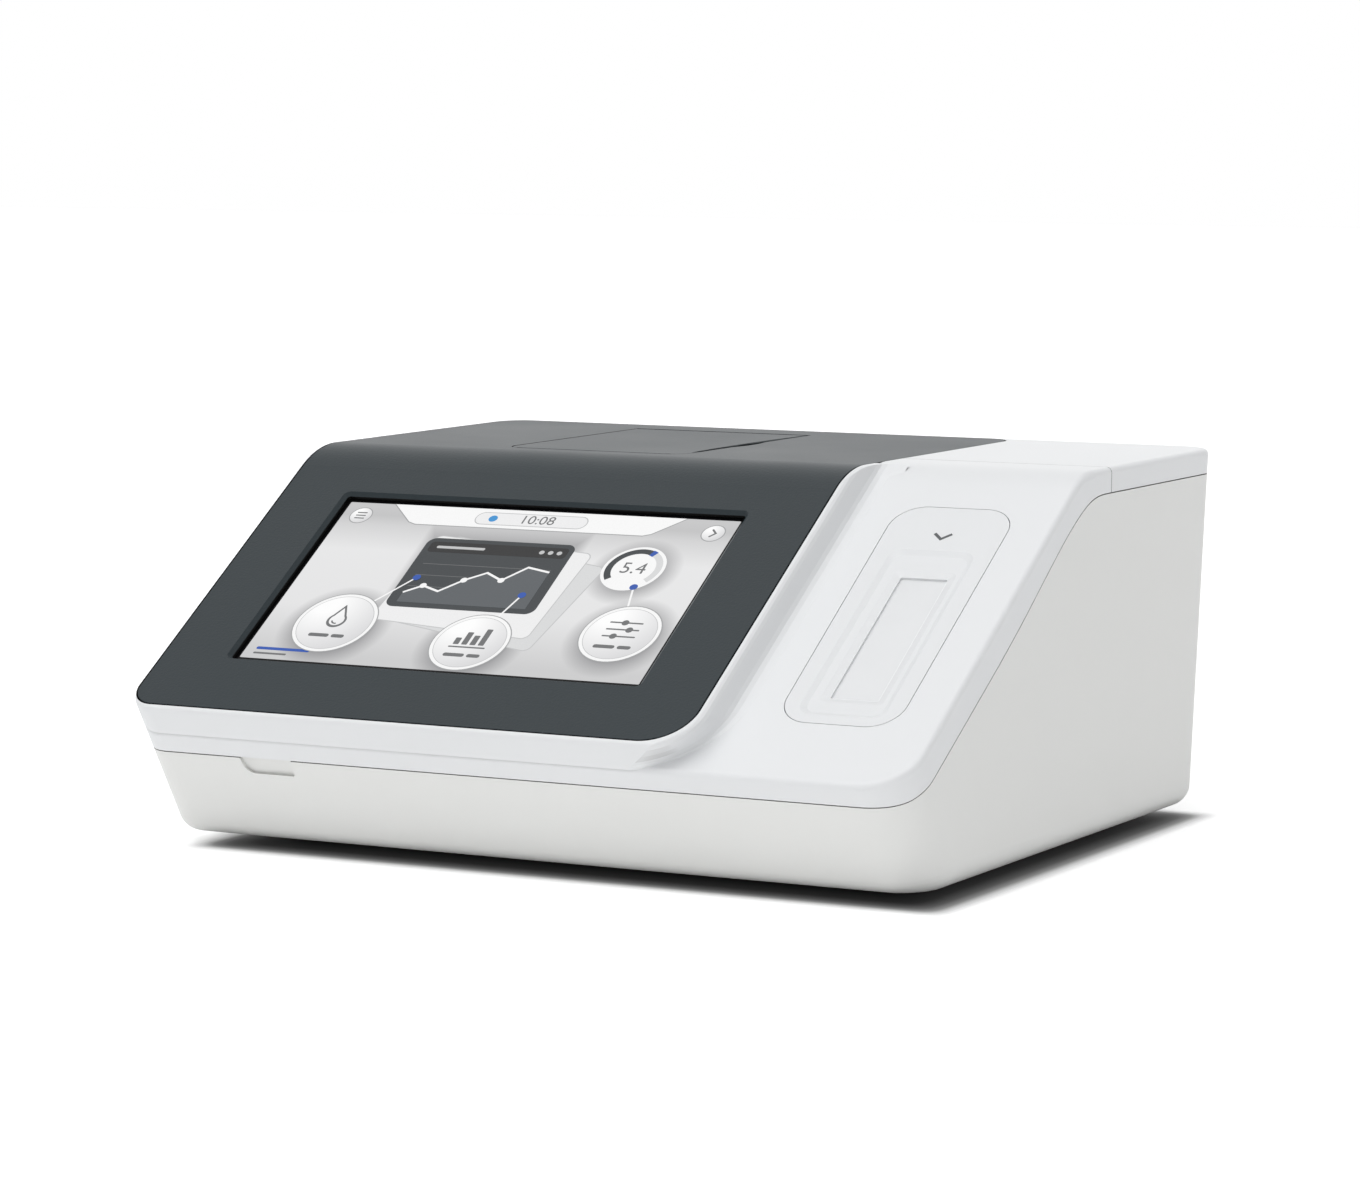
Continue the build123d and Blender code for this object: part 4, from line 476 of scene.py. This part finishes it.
def screen_background():
    """Light grey, darker at the top and bottom, with soft shadows round the buttons, the gauge and the card."""
    mat, nodes, links, out = emissive("screen_picture")
    place = object_xyz(nodes, links)
    low, high = on_incline(0, SV0).z, on_incline(0, SV1).z
    height = map_range(nodes, links, place["Z"], low, high, 0.0, 1.0)
    tone = ramp(nodes, links, height, [(0.0, (0.56, 0.56, 0.565)), (0.3, (0.73, 0.73, 0.735)),
                                       (0.66, (0.75, 0.75, 0.755)), (0.82, (0.60, 0.60, 0.605)),
                                       (0.88, (0.50, 0.50, 0.505)), (1.0, (0.56, 0.56, 0.565))])
    x0, v0, x1, v1 = CARD
    across = outside_of(nodes, links, place["X"], (x0 + x1 + 1) / 2 * MM, (x1 - x0) / 2 * MM)
    z0, z1 = on_incline(0, v0 - 1.5).z, on_incline(0, v1 - 1.5).z
    along = outside_of(nodes, links, place["Z"], (z0 + z1) / 2, (z1 - z0) / 2)
    beyond = joined(nodes, links, "MAXIMUM", across, along)
    shade = map_range(nodes, links, beyond, -1.0 * MM, 3.5 * MM, 0.5, 0.0)
    tone = mix_color(nodes, links, shade, tone, (0.12, 0.12, 0.13))
    for x, v, r in BUTTONS + [GAUGE]:
        away = distance_to(nodes, links, on_incline(x + 0.8, v - 1.6, FACE))
        shade = map_range(nodes, links, away, (r - 1) * MM, (r + 6) * MM, 0.6, 0.0)
        tone = mix_color(nodes, links, shade, tone, (0.16, 0.16, 0.17))
    links.new(tone, out)
    return mat


def disc_face(name, x, v, r):
    """Raised key: nearly white at its upper left, light grey at its lower right."""
    mat, nodes, links, out = emissive(name)
    away = distance_to(nodes, links, on_incline(x - 0.5 * r, v + 0.6 * r, FACE))
    share = map_range(nodes, links, away, 0.3 * r * MM, 1.6 * r * MM, 0.0, 1.0)
    links.new(ramp(nodes, links, share, [(0.0, (0.93, 0.93, 0.93)), (1.0, (0.66, 0.66, 0.67))]), out)
    return mat


UI = {name: ink("ui_" + name, color) for name, color in {
    "white": (0.90, 0.90, 0.90), "paper": (0.82, 0.82, 0.825), "pale": (0.52, 0.525, 0.53),
    "mist": (0.66, 0.665, 0.67), "rim": (0.34, 0.345, 0.35), "grey": (0.14, 0.143, 0.147),
    "slate": (0.030, 0.036, 0.041), "night": (0.006, 0.006, 0.007), "haze": (0.085, 0.095, 0.105),
    "blue": (0.01, 0.075, 0.40), "sky": (0.03, 0.27, 0.62)}.items()}
plate("screen_picture", [rounded(SX0, SV0, SX1, SV1, 0.4)], screen_background(), FACE - 0.01)


def flat(name, loops, material, level):
    """Shape of the picture; a higher level lies over a lower one."""
    plate("ui_" + name, loops, UI.get(material, material), FACE + LEVEL * level)


def tilted(x, v, width, height, r, angle):
    """Rounded rectangle about its middle, turned by an angle in degrees."""
    c, s = math.cos(math.radians(angle)), math.sin(math.radians(angle))
    return [(x + px * c - pv * s, v + px * s + pv * c)
            for px, pv in rounded(-width / 2, -height / 2, width / 2, height / 2, r)]


def figures(name, text, x, v, size, material, level):
    """Plain numbers, flat on the picture."""
    curve = bpy.data.curves.new(name, "FONT")
    curve.body = text
    curve.size = size * MM
    curve.align_x = "CENTER"
    curve.align_y = "CENTER"
    curve.extrude = PRINT_T * MM / 2
    place = Matrix.Translation((x * MM, v * MM, 0))
    laid(name, curve, UI[material], on_incline_matrix(FACE + LEVEL * level) @ place)


# header with the clock, and a round key in each upper corner
HEADER_H, KEY_R, KEY_IN, KEY_DROP = 10.3, 4.0, 7.5, 7.0
header = [(SX0 + 18, SV1), (SX1 - 20, SV1), (SX1 - 30, SV1 - HEADER_H + 1.1), (SX1 - 33, SV1 - HEADER_H),
          (SX0 + 31, SV1 - HEADER_H), (SX0 + 28, SV1 - HEADER_H + 1.1)]
flat("header", [header], "white", 1)
flat("header_line", [stroke(header[:1] + header[:1:-1] + header[1:2], 0.4)], "rim", 2)
flat("clock_pill", [rounded(-62, SV1 - 8.6, -18, SV1 - 1.8, 3.3)], "pale", 2)
flat("clock_face", [rounded(-61.6, SV1 - 8.2, -18.4, SV1 - 2.2, 2.95)], "paper", 3)
figures("ui_clock_figures", "10:08", -37.5, SV1 - 5.2, 6.2, "grey", 4)
flat("clock_dot", [circle(-55.0, SV1 - 5.2, 1.7, 24)], "sky", 4)
for side, x in (("left", SX0 + KEY_IN), ("right", SX1 - KEY_IN)):
    flat(f"key_{side}_rim", [circle(x, SV1 - KEY_DROP, KEY_R + 0.4)], "rim", 1)
    face = disc_face(f"ui_key_{side}_face", x, SV1 - KEY_DROP, KEY_R)
    flat(f"key_{side}", [circle(x, SV1 - KEY_DROP, KEY_R)], face, 2)
flat("menu", [rounded(SX0 + 5.5, SV1 - k, SX0 + 9.5, SV1 - k + 0.55, 0.2, 2) for k in (5.8, 7.3, 8.8)], "grey", 3)
flat("next", [stroke([(SX1 - 8.4, SV1 - 5.0), (SX1 - 6.5, SV1 - 7.0), (SX1 - 8.4, SV1 - 9.0)], 0.7)], "grey", 3)

# pale sheets under a dark card with a trace, and a gauge with a plain figure
for name, place, size, angle, fill, level in (("sheet_back", (-37, 72), (66, 46), -11, "mist", 1),
                                              ("sheet_front", (-42, 75), (64, 46), -5, "paper", 3)):
    outline = tilted(*place, *size, 3.0, angle)
    inner = tilted(*place, size[0] - 0.8, size[1] - 0.8, 2.6, angle)
    flat(name, [outline], fill, level)
    flat(name + "_edge", [outline, inner], "pale", level + 1)
flat("card", [rounded(*CARD, 3.5)], "slate", 5)
flat("card_band", [rounded(CARD[0] + 2, CARD[3] - 7.5, CARD[2] - 2, CARD[3] - 2, 1.6)], "night", 6)
flat("card_marks", [circle(CARD[2] - 5 - 3.4 * k, CARD[3] - 4.75, 1.0, 20) for k in range(3)], "pale", 7)
flat("card_title", [rounded(CARD[0] + 5, CARD[3] - 5.4, CARD[0] + 24, CARD[3] - 4.1, 0.6, 4)], "pale", 7)
flat("grid", [rounded(-70, 67 + 6 * n, -20, 67.25 + 6 * n, 0.1, 2) for n in range(4)], "grey", 6)
trace = [(-70, 69.5), (-64, 73.5), (-57, 71.0), (-50, 77.5), (-43, 82.0), (-36, 78.5), (-29, 86.0), (-20, 84.0)]
flat("trace_area", [trace + [(trace[-1][0], 64.5), (trace[0][0], 64.5)]], "haze", 7)
flat("trace", [stroke(trace, 0.9)], "white", 8)
flat("trace_dots", [circle(x, v, 1.3, 20) for x, v in trace[1:-1:2]], "white", 9)
gx, gv, gr = GAUGE
flat("gauge_disc", [circle(gx, gv, gr)], "white", 5)
flat("gauge_ring", [arc_band(gx, gv, gr - 3.6, gr - 1.2, -40, 220)], "mist", 6)
flat("gauge_value", [arc_band(gx, gv, gr - 3.6, gr - 1.2, 70, 220)], "slate", 7)
flat("gauge_tip", [arc_band(gx, gv, gr - 3.8, gr - 1.0, 58, 70, 8)], "blue", 8)
figures("ui_gauge_figure", "5.4", gx, gv, 8.0, "grey", 6)

# round buttons, each with a lead to its place and a blue dot there
for n, ((x, v, r), (tx, tv)) in enumerate(zip(BUTTONS, ((-68.5, 77.5), (-24.5, 71.5), (14.5, 79.0)))):
    flat(f"lead_{n}", [stroke([(x, v), (tx, tv)], 0.7)], "white", 10)
    flat(f"lead_dot_{n}", [circle(tx, tv, 1.5, 24)], "blue", 11)
    flat(f"button_{n}_rim", [circle(x, v, r)], "rim", 12)
    flat(f"button_{n}_ring", [circle(x, v, r - 0.4)], "white", 13)
    flat(f"button_{n}_line", [circle(x, v, r - 1.6)], "pale", 14)
    flat(f"button_{n}_face", [circle(x, v, r - 1.85)], disc_face(f"ui_button_{n}", x, v, r), 15)
    flat(f"button_{n}_label", [rounded(x - 7, v - 7.6, x + 1, v - 5.9, 0.8, 4),
                               rounded(x + 2, v - 7.6, x + 7, v - 5.9, 0.8, 4)], "grey", 16)


def drop_outline(x, v, r):
    """Outline of a falling drop."""
    points = circle(x, v, r, 36, -225, 45)
    return points + [(x + 0.28 * r, v + 1.65 * r), (x, v + 2.25 * r), (x - 0.28 * r, v + 1.65 * r)]


(x0, v0, _), (x1, v1, _), (x2, v2, _) = BUTTONS
flat("icon_drop", [drop_outline(x0, v0 + 1.2, 3.7), drop_outline(x0, v0 + 1.4, 2.8)], "grey", 16)
flat("icon_drop_mark", [arc_band(x0, v0 + 1.2, 1.3, 1.9, 190, 290, 12)], "grey", 16)
flat("icon_chart", [rounded(x1 - 6 + 3.2 * n, v1 - 1.4, x1 - 3.8 + 3.2 * n, v1 - 1.4 + height, 0.3, 3)
                    for n, height in enumerate((3.4, 6.4, 4.9, 8.4))]
     + [rounded(x1 - 7, v1 - 3.0, x1 + 7, v1 - 2.3, 0.3, 3)], "grey", 16)
for n, shift in enumerate((-2.0, 2.5, -0.5)):
    height = v2 - 1.4 + 3.5 * n
    flat(f"icon_slide_{n}", [rounded(x2 - 6.2, height - 0.35, x2 + 6.2, height + 0.35, 0.3, 3)], "grey", 16)
    flat(f"icon_knob_{n}", [circle(x2 + shift, height, 1.35, 20)], "grey", 17)
flat("note_1", [rounded(SX0 + 4, SV0 + 4.6, SX0 + 25, SV0 + 6.0, 0.6, 4)], "blue", 1)
flat("note_2", [rounded(SX0 + 4, SV0 + 2.3, SX0 + 17, SV0 + 3.2, 0.4, 3)], "grey", 1)

# Printed mark above the scan window
chevron = [(104.2, 124.4), (107.3, 121.6), (110.4, 124.4)]
plate("mark_chevron", [stroke(chevron, 1.1)], paint("print_grey", (0.05, 0.055, 0.06), 0.4), PRINT_T, WING_DROP)


# ------------------------------------------------------- painted shadow strip round the cover, reshaped shells and lid
SHADOW_STRIP_IN, SHADOW_STRIP_TOP, SHADOW_STRIP_DEEP, SHADOW_STRIP_CLEAR = 0.2, -0.1, -0.7, 0.02
CORNER_STEPS, SIDE_STEPS = 12, 90


def over_skin(x, s, out):
    """Point on the display side's outside: s runs up the incline, round the knee and along the roof."""
    start, bend = KNEE_V - KNEE_REACH, KNEE_R * INCLINE
    if s <= start:
        return on_incline(x, s, out)
    base = on_incline(x, start) / MM
    center = base + KNEE_R * Vector((0, math.sin(INCLINE), -math.cos(INCLINE)))
    lean = INCLINE - min(s - start, bend) / KNEE_R
    along = max(0.0, s - start - bend)
    away = (KNEE_R + out) * Vector((0, -math.sin(lean), math.cos(lean)))
    return (center + away + Vector((0, along, 0))) * MM


def skin_s(y):
    """Distance over the skin of a point on the roof."""
    flat_y = NOSE_Y + KNEE_V * math.cos(INCLINE) + KNEE_REACH
    return KNEE_V - KNEE_REACH + KNEE_R * INCLINE + y - flat_y


def loop_of(x0, x1, s0, s1, radii):
    """Closed outline with its own corner radii, with even points along its sides."""
    low_left, low_right, high = radii
    corners = ((x1 - low_right, s0 + low_right, low_right, -90), (x1 - high, s1 - high, high, 0),
               (x0 + high, s1 - high, high, 90), (x0 + low_left, s0 + low_left, low_left, 180))
    arcs = [quarter(*corner, CORNER_STEPS) for corner in corners]
    points = []
    for here, after in zip(arcs, arcs[1:] + arcs[:1]):
        a, b = Vector(here[-1]), Vector(after[0])
        points += here + [tuple(a.lerp(b, n / SIDE_STEPS)) for n in range(1, SIDE_STEPS)]
    return points


def gap_shadow_strip(name, x0, x1, s0, s1, radii, grow, material):
    """Black strip in the gap round a flush part, just under the surface: a painted shadow for the shade in the gap.
    """
    rings = []
    for wide, out in ((grow, SHADOW_STRIP_TOP), (-SHADOW_STRIP_IN, SHADOW_STRIP_TOP), (-SHADOW_STRIP_IN, SHADOW_STRIP_DEEP), (grow, SHADOW_STRIP_DEEP)):
        loop = loop_of(x0 - wide, x1 + wide, s0 - wide, s1 + wide, [r + wide for r in radii])
        rings.append([over_skin(x, s, out) for x, s in loop])
    count = len(rings[0])
    faces = [(a * count + n, a * count + (n + 1) % count, b * count + (n + 1) % count, b * count + n)
             for a, b in ((0, 1), (1, 2), (2, 3), (3, 0)) for n in range(count)]
    mesh = bpy.data.meshes.new(name)
    mesh.from_pydata([point for ring in rings for point in ring], [], faces)
    mesh.materials.append(material)
    bm = bmesh.new()
    bm.from_mesh(mesh)
    bmesh.ops.recalc_face_normals(bm, faces=bm.faces)
    bm.to_mesh(mesh)
    bm.free()
    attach(placed(name, mesh), "housing")


def split_long(bm, chosen, length):
    """Divide the chosen edges so that none is longer than length."""
    groups = {}
    for edge in chosen:
        cuts = math.ceil(edge.calc_length() / length) - 1
        if cuts > 0:
            groups.setdefault(cuts, []).append(edge)
    for cuts, edges in groups.items():
        bmesh.ops.subdivide_edges(bm, edges=edges, cuts=cuts)
    bmesh.ops.triangulate(bm, faces=[face for face in bm.faces if len(face.verts) > 3])


def reshaped(name, node_name, near, move, body):
    """Copy of a node with its edges near a line divided and its points moved; it stands for the node."""
    mesh = frame["nodes"][node_name].data.copy()
    mesh.name = name
    bm = bmesh.new()
    bm.from_mesh(mesh)
    split_long(bm, [edge for edge in bm.edges if all(near(v.co / MM) for v in edge.verts)], EDGE_STEP * MM)
    for vert in bm.verts:
        vert.co += move(vert.co / MM) * MM
    bm.to_mesh(mesh)
    bm.free()
    obj = placed(name, mesh)
    for slot in obj.material_slots:
        slot.link = "OBJECT"
        slot.material = MATERIALS[LOOKS[node_name]]
    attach(obj, body)
    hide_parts(node_name)


def clamped(value):
    """Value held between nought and one."""
    return max(0.0, min(1.0, value))


def between(points, at):
    """Value at a place on a line of points."""
    for (x0, y0), (x1, y1) in zip(points, points[1:]):
        if at <= x1:
            return y0 + (y1 - y0) * max(0.0, at - x0) / (x1 - x0)
    return points[-1][1]


# The parting line at the sides as (y, z): as the solids have it, and with one long arc as its shoulder.
# Points beyond SIDE_X move, inside SEAM_SPAN, with these blends, and less the further above or below they are.
EDGE_STEP = 1.5
SEAM_WAS = [(-115.6, 33.9), (1.0955, 108.1), (11.4, 117.85), (12.4, 118.7), (13.6, 119.45), (15.0, 119.97),
            (16.4, 120.28), (18.0, 120.4), (60.0, 120.4)]
SEAM_ARC = [(-60, 69.26), (-50, 75.75), (-40, 82.5), (-30, 89.6), (-20, 96.9), (-10.2, 103.9), (-2, 109.5),
            (5.1, 113.8), (11.6, 117.2), (17.3, 119.3), (22, 120.15), (26, 120.4), (60, 120.4)]
SEAM_SPAN, SEAM_DIVIDED = (-58.0, 32.0), (-125.0, 135.0)
SEAM_SPREAD, SEAM_SAMPLES, SEAM_NEAR = 4.0, 9, 0.75
SIDE_X, SIDE_BLEND, FRONT_BLEND, REAR_BLEND = 120.0, 14.0, 8.0, 4.0
REACH_UP, FADE_UP, REACH_DOWN, FADE_DOWN = 9.0, 5.0, 24.0, 20.0

# The lid's edge zone, its plate's depth, and how far its right, front and rear edges are drawn in
LID_EDGE, LID_DEEP, LID_CORNER, LID_END = 1.0, 2.2, 7.5, 1.5
SIDE_GAP, FRONT_GAP, REAR_GAP = 2.6, 0.7, 0.5


def seam_target(y):
    """Height of the smoothed arc at a place."""
    steps = [SEAM_SPREAD * (2 * n / (SEAM_SAMPLES - 1) - 1) for n in range(SEAM_SAMPLES)]
    return sum(between(SEAM_ARC, y + step) for step in steps) / SEAM_SAMPLES


def seam_near(p):
    """Whether a point lies on the parting line's edge at a side."""
    start, end = SEAM_DIVIDED
    return abs(p.x) > SIDE_X and start < p.y < end and abs(p.z - between(SEAM_WAS, p.y)) < SEAM_NEAR


def seam_move(p):
    """Shift of a shell's point that lays the parting line on its arc."""
    start, end = SEAM_SPAN
    if not (abs(p.x) > SIDE_X and start < p.y < end):
        return Vector((0, 0, 0))
    was = between(SEAM_WAS, p.y)
    above = p.z - was
    share = clamped((REACH_UP - above) / FADE_UP if above > 0 else (REACH_DOWN + above) / FADE_DOWN)
    ends = clamped(min((p.y - start) / FRONT_BLEND, (end - p.y) / REAR_BLEND, (abs(p.x) - SIDE_X) / SIDE_BLEND))
    return Vector((0, 0, (seam_target(p.y) - was) * share * ends))


def lid_near(p):
    """Whether a point lies on the lid's right edge."""
    return p.x > LID[1] - LID_EDGE and p.z > TOP_Z - LID_DEEP


def lid_move(p):
    """Shift that opens the lid's gap: a long finger gap at its right, narrow ones in front and behind."""
    shift = Vector((0, 0, 0))
    if p.z < TOP_Z - LID_DEEP:
        return shift
    _, right, front, rear = LID
    if p.x > right - LID_EDGE:
        along = clamped((p.y - front - LID_CORNER) / (rear - front - LID_CORNER - LID_END))
        shift.x = -SIDE_GAP * (4 * along * (1 - along)) ** 0.5
    if p.y < front + LID_EDGE:
        shift.y = FRONT_GAP
    if p.y > rear - LID_EDGE:
        shift.y = -REAR_GAP
    return shift


for shell in ("front_fascia", "lower_case"):
    reshaped(shell + "_skin", shell, seam_near, seam_move, "housing")
reshaped("compartment_lid_skin", "compartment_lid", lid_near, lid_move, "lid")

# Matt black strip round the display cover: painted shadow in the gap between the cover and the shells
gap_shadow_material = moulded("gap_shadow_black", (0.003, 0.003, 0.003), 0.95, grain=900.0, grain_strength=0.5, drift=0.3, specular=0.0)
cover_left, cover_right, cover_front, cover_rear = COVER
gap_shadow_strip("cover_gap_shadow", cover_left, cover_right, cover_front, skin_s(cover_rear), COVER_RADII,
     COVER_GAP - SHADOW_STRIP_CLEAR, gap_shadow_material)


# ------------------------------------------------------------ floor, light, camera
# Half the floor's side in metres; box of the painted shadow under the object on it, with its corner's softness
# and its blend, and its tone from the middle outwards
FLOOR_HALF = 6.0
FOOTPRINT = {"X": (-132, 147), "Y": (-107, 118)}
FOOTPRINT_R, FOOTPRINT_BLEND = 12, (-26, 4)
FOOTPRINT_SHADOW_TONES = [(0.0, 0.01), (0.4, 0.04), (0.63, 0.12), (0.75, 0.25), (0.84, 0.6), (1.0, 1.0)]
# The floor's own light for the object, and as it is seen
FLOOR_GLOW = (0.163, 0.35)
WORLD_COLOR, WORLD_SEEN = (0.347, 0.35, 0.354), (1.0, 1.0, 1.0)
# Each sun's direction, strength and angle
SUNS = {"top": ((0.1, 0.12, -1.0), 1.016, 60), "key": ((0.45, 0.62, -1.0), 0.4, 50),
        "front": ((0.0, 0.9, -0.6), 0.244, 50), "right": ((-0.4, 0.35, -1.0), 0.3, 50)}
# The photograph's camera
EYE = (0.75752, -1.40717, 0.25985)
AZIMUTH, ELEVATION, ROLL = math.radians(28.345), math.radians(6.419), math.radians(-0.052)
LENS_MM, SENSOR_MM = 124.064, 36.0


def seen_rays(nodes, links):
    """One for camera, glossy and transmission rays."""
    path = nodes.new("ShaderNodeLightPath")
    seen = path.outputs["Is Camera Ray"]
    for ray in ("Is Glossy Ray", "Is Transmission Ray"):
        seen = joined(nodes, links, "MAXIMUM", seen, path.outputs[ray])
    return seen


def floor():
    """Plain pale floor, with a painted shadow in the narrow space under the object's feet that also dims its glow
    there.
    """
    mesh = bpy.data.meshes.new("floor")
    corners = [(-FLOOR_HALF, -FLOOR_HALF, 0), (FLOOR_HALF, -FLOOR_HALF, 0), (FLOOR_HALF, FLOOR_HALF, 0),
               (-FLOOR_HALF, FLOOR_HALF, 0)]
    mesh.from_pydata(corners, [], [(0, 1, 2, 3)])
    mat, nodes, links, bsdf = new_material("floor_white")
    place = object_xyz(nodes, links)
    outside = [outside_of(nodes, links, place[axis], (low + high) / 2 * MM, (high - low) / 2 * MM)
               for axis, (low, high) in FOOTPRINT.items()]
    larger = node(nodes, "ShaderNodeMath", operation="SMOOTH_MAX", in_2=FOOTPRINT_R * MM)
    links.new(outside[0], larger.inputs[0])
    links.new(outside[1], larger.inputs[1])
    inner, outer = FOOTPRINT_BLEND
    across = map_range(nodes, links, larger.outputs[0], inner * MM, outer * MM, 0.0, 1.0)
    shade = ramp(nodes, links, across, [(stop, (tone,) * 3) for stop, tone in FOOTPRINT_SHADOW_TONES])
    cloud = ramp(nodes, links, noise(nodes, links, 3.0), [(0.3, (0.92,) * 3), (0.7, (0.94,) * 3)])
    links.new(mix_color(nodes, links, 1.0, cloud, shade, "MULTIPLY"), bsdf.inputs["Base Color"])
    bsdf.inputs["Roughness"].default_value = 0.7
    bsdf.inputs["Specular IOR Level"].default_value = 0.2
    glow = map_range(nodes, links, seen_rays(nodes, links), 0.0, 1.0, *FLOOR_GLOW)
    bsdf.inputs["Emission Color"].default_value = (1.0, 1.0, 1.0, 1.0)
    links.new(joined(nodes, links, "MULTIPLY", glow, shade), bsdf.inputs["Emission Strength"])
    mesh.materials.append(mat)
    placed("floor", mesh)


def aimed(name, light, toward, place=(0, 0, 0)):
    """Light in the scene, looking along a direction."""
    obj = placed(name, light)
    obj.location = place
    obj.rotation_euler = Vector(toward).to_track_quat("-Z", "Y").to_euler()


def area(name, place, target, size, power):
    """Soft box that looks at a point."""
    light = bpy.data.lights.new(name, "AREA")
    light.shape = "RECTANGLE"
    light.size, light.size_y = size
    light.energy = power
    aimed(name, light, Vector(target) - Vector(place), place)


def world():
    """White to the camera, grey as a light."""
    made = bpy.data.worlds.new("studio")
    bpy.context.scene.world = made
    made.use_nodes = True
    nodes, links = made.node_tree.nodes, made.node_tree.links
    background = nodes["Background"]
    color = mix_color(nodes, links, seen_rays(nodes, links), WORLD_COLOR, WORLD_SEEN)
    links.new(color, background.inputs["Color"])
    background.inputs["Strength"].default_value = 1.0


def sun(name, toward, strength, angle):
    """Even soft light from one side."""
    light = bpy.data.lights.new(name, "SUN")
    light.energy = strength
    light.angle = math.radians(angle)
    aimed(name, light, toward)


floor()
world()
for name, settings in SUNS.items():
    sun(name, *settings)
area("back", (-0.6, 2.2, 0.75), (0, 0, 0.12), (2.6, 0.9), 1.6)

camera = bpy.data.cameras.new("camera")
camera.sensor_width = SENSOR_MM
camera.sensor_fit = "HORIZONTAL"
camera.lens = LENS_MM
camera.clip_start = 0.05
camera.clip_end = 50.0
eye = placed("camera", camera)
forward = Vector((-math.sin(AZIMUTH) * math.cos(ELEVATION), math.cos(AZIMUTH) * math.cos(ELEVATION),
                  -math.sin(ELEVATION)))
right = Vector((math.cos(AZIMUTH), math.sin(AZIMUTH), 0))
turn = Matrix((right, right.cross(forward), -forward)).transposed().to_4x4()
eye.matrix_world = Matrix.Translation(EYE) @ turn @ Matrix.Rotation(ROLL, 4, "Z")
bpy.context.scene.camera = eye
bpy.context.scene.view_settings.view_transform = "Standard"
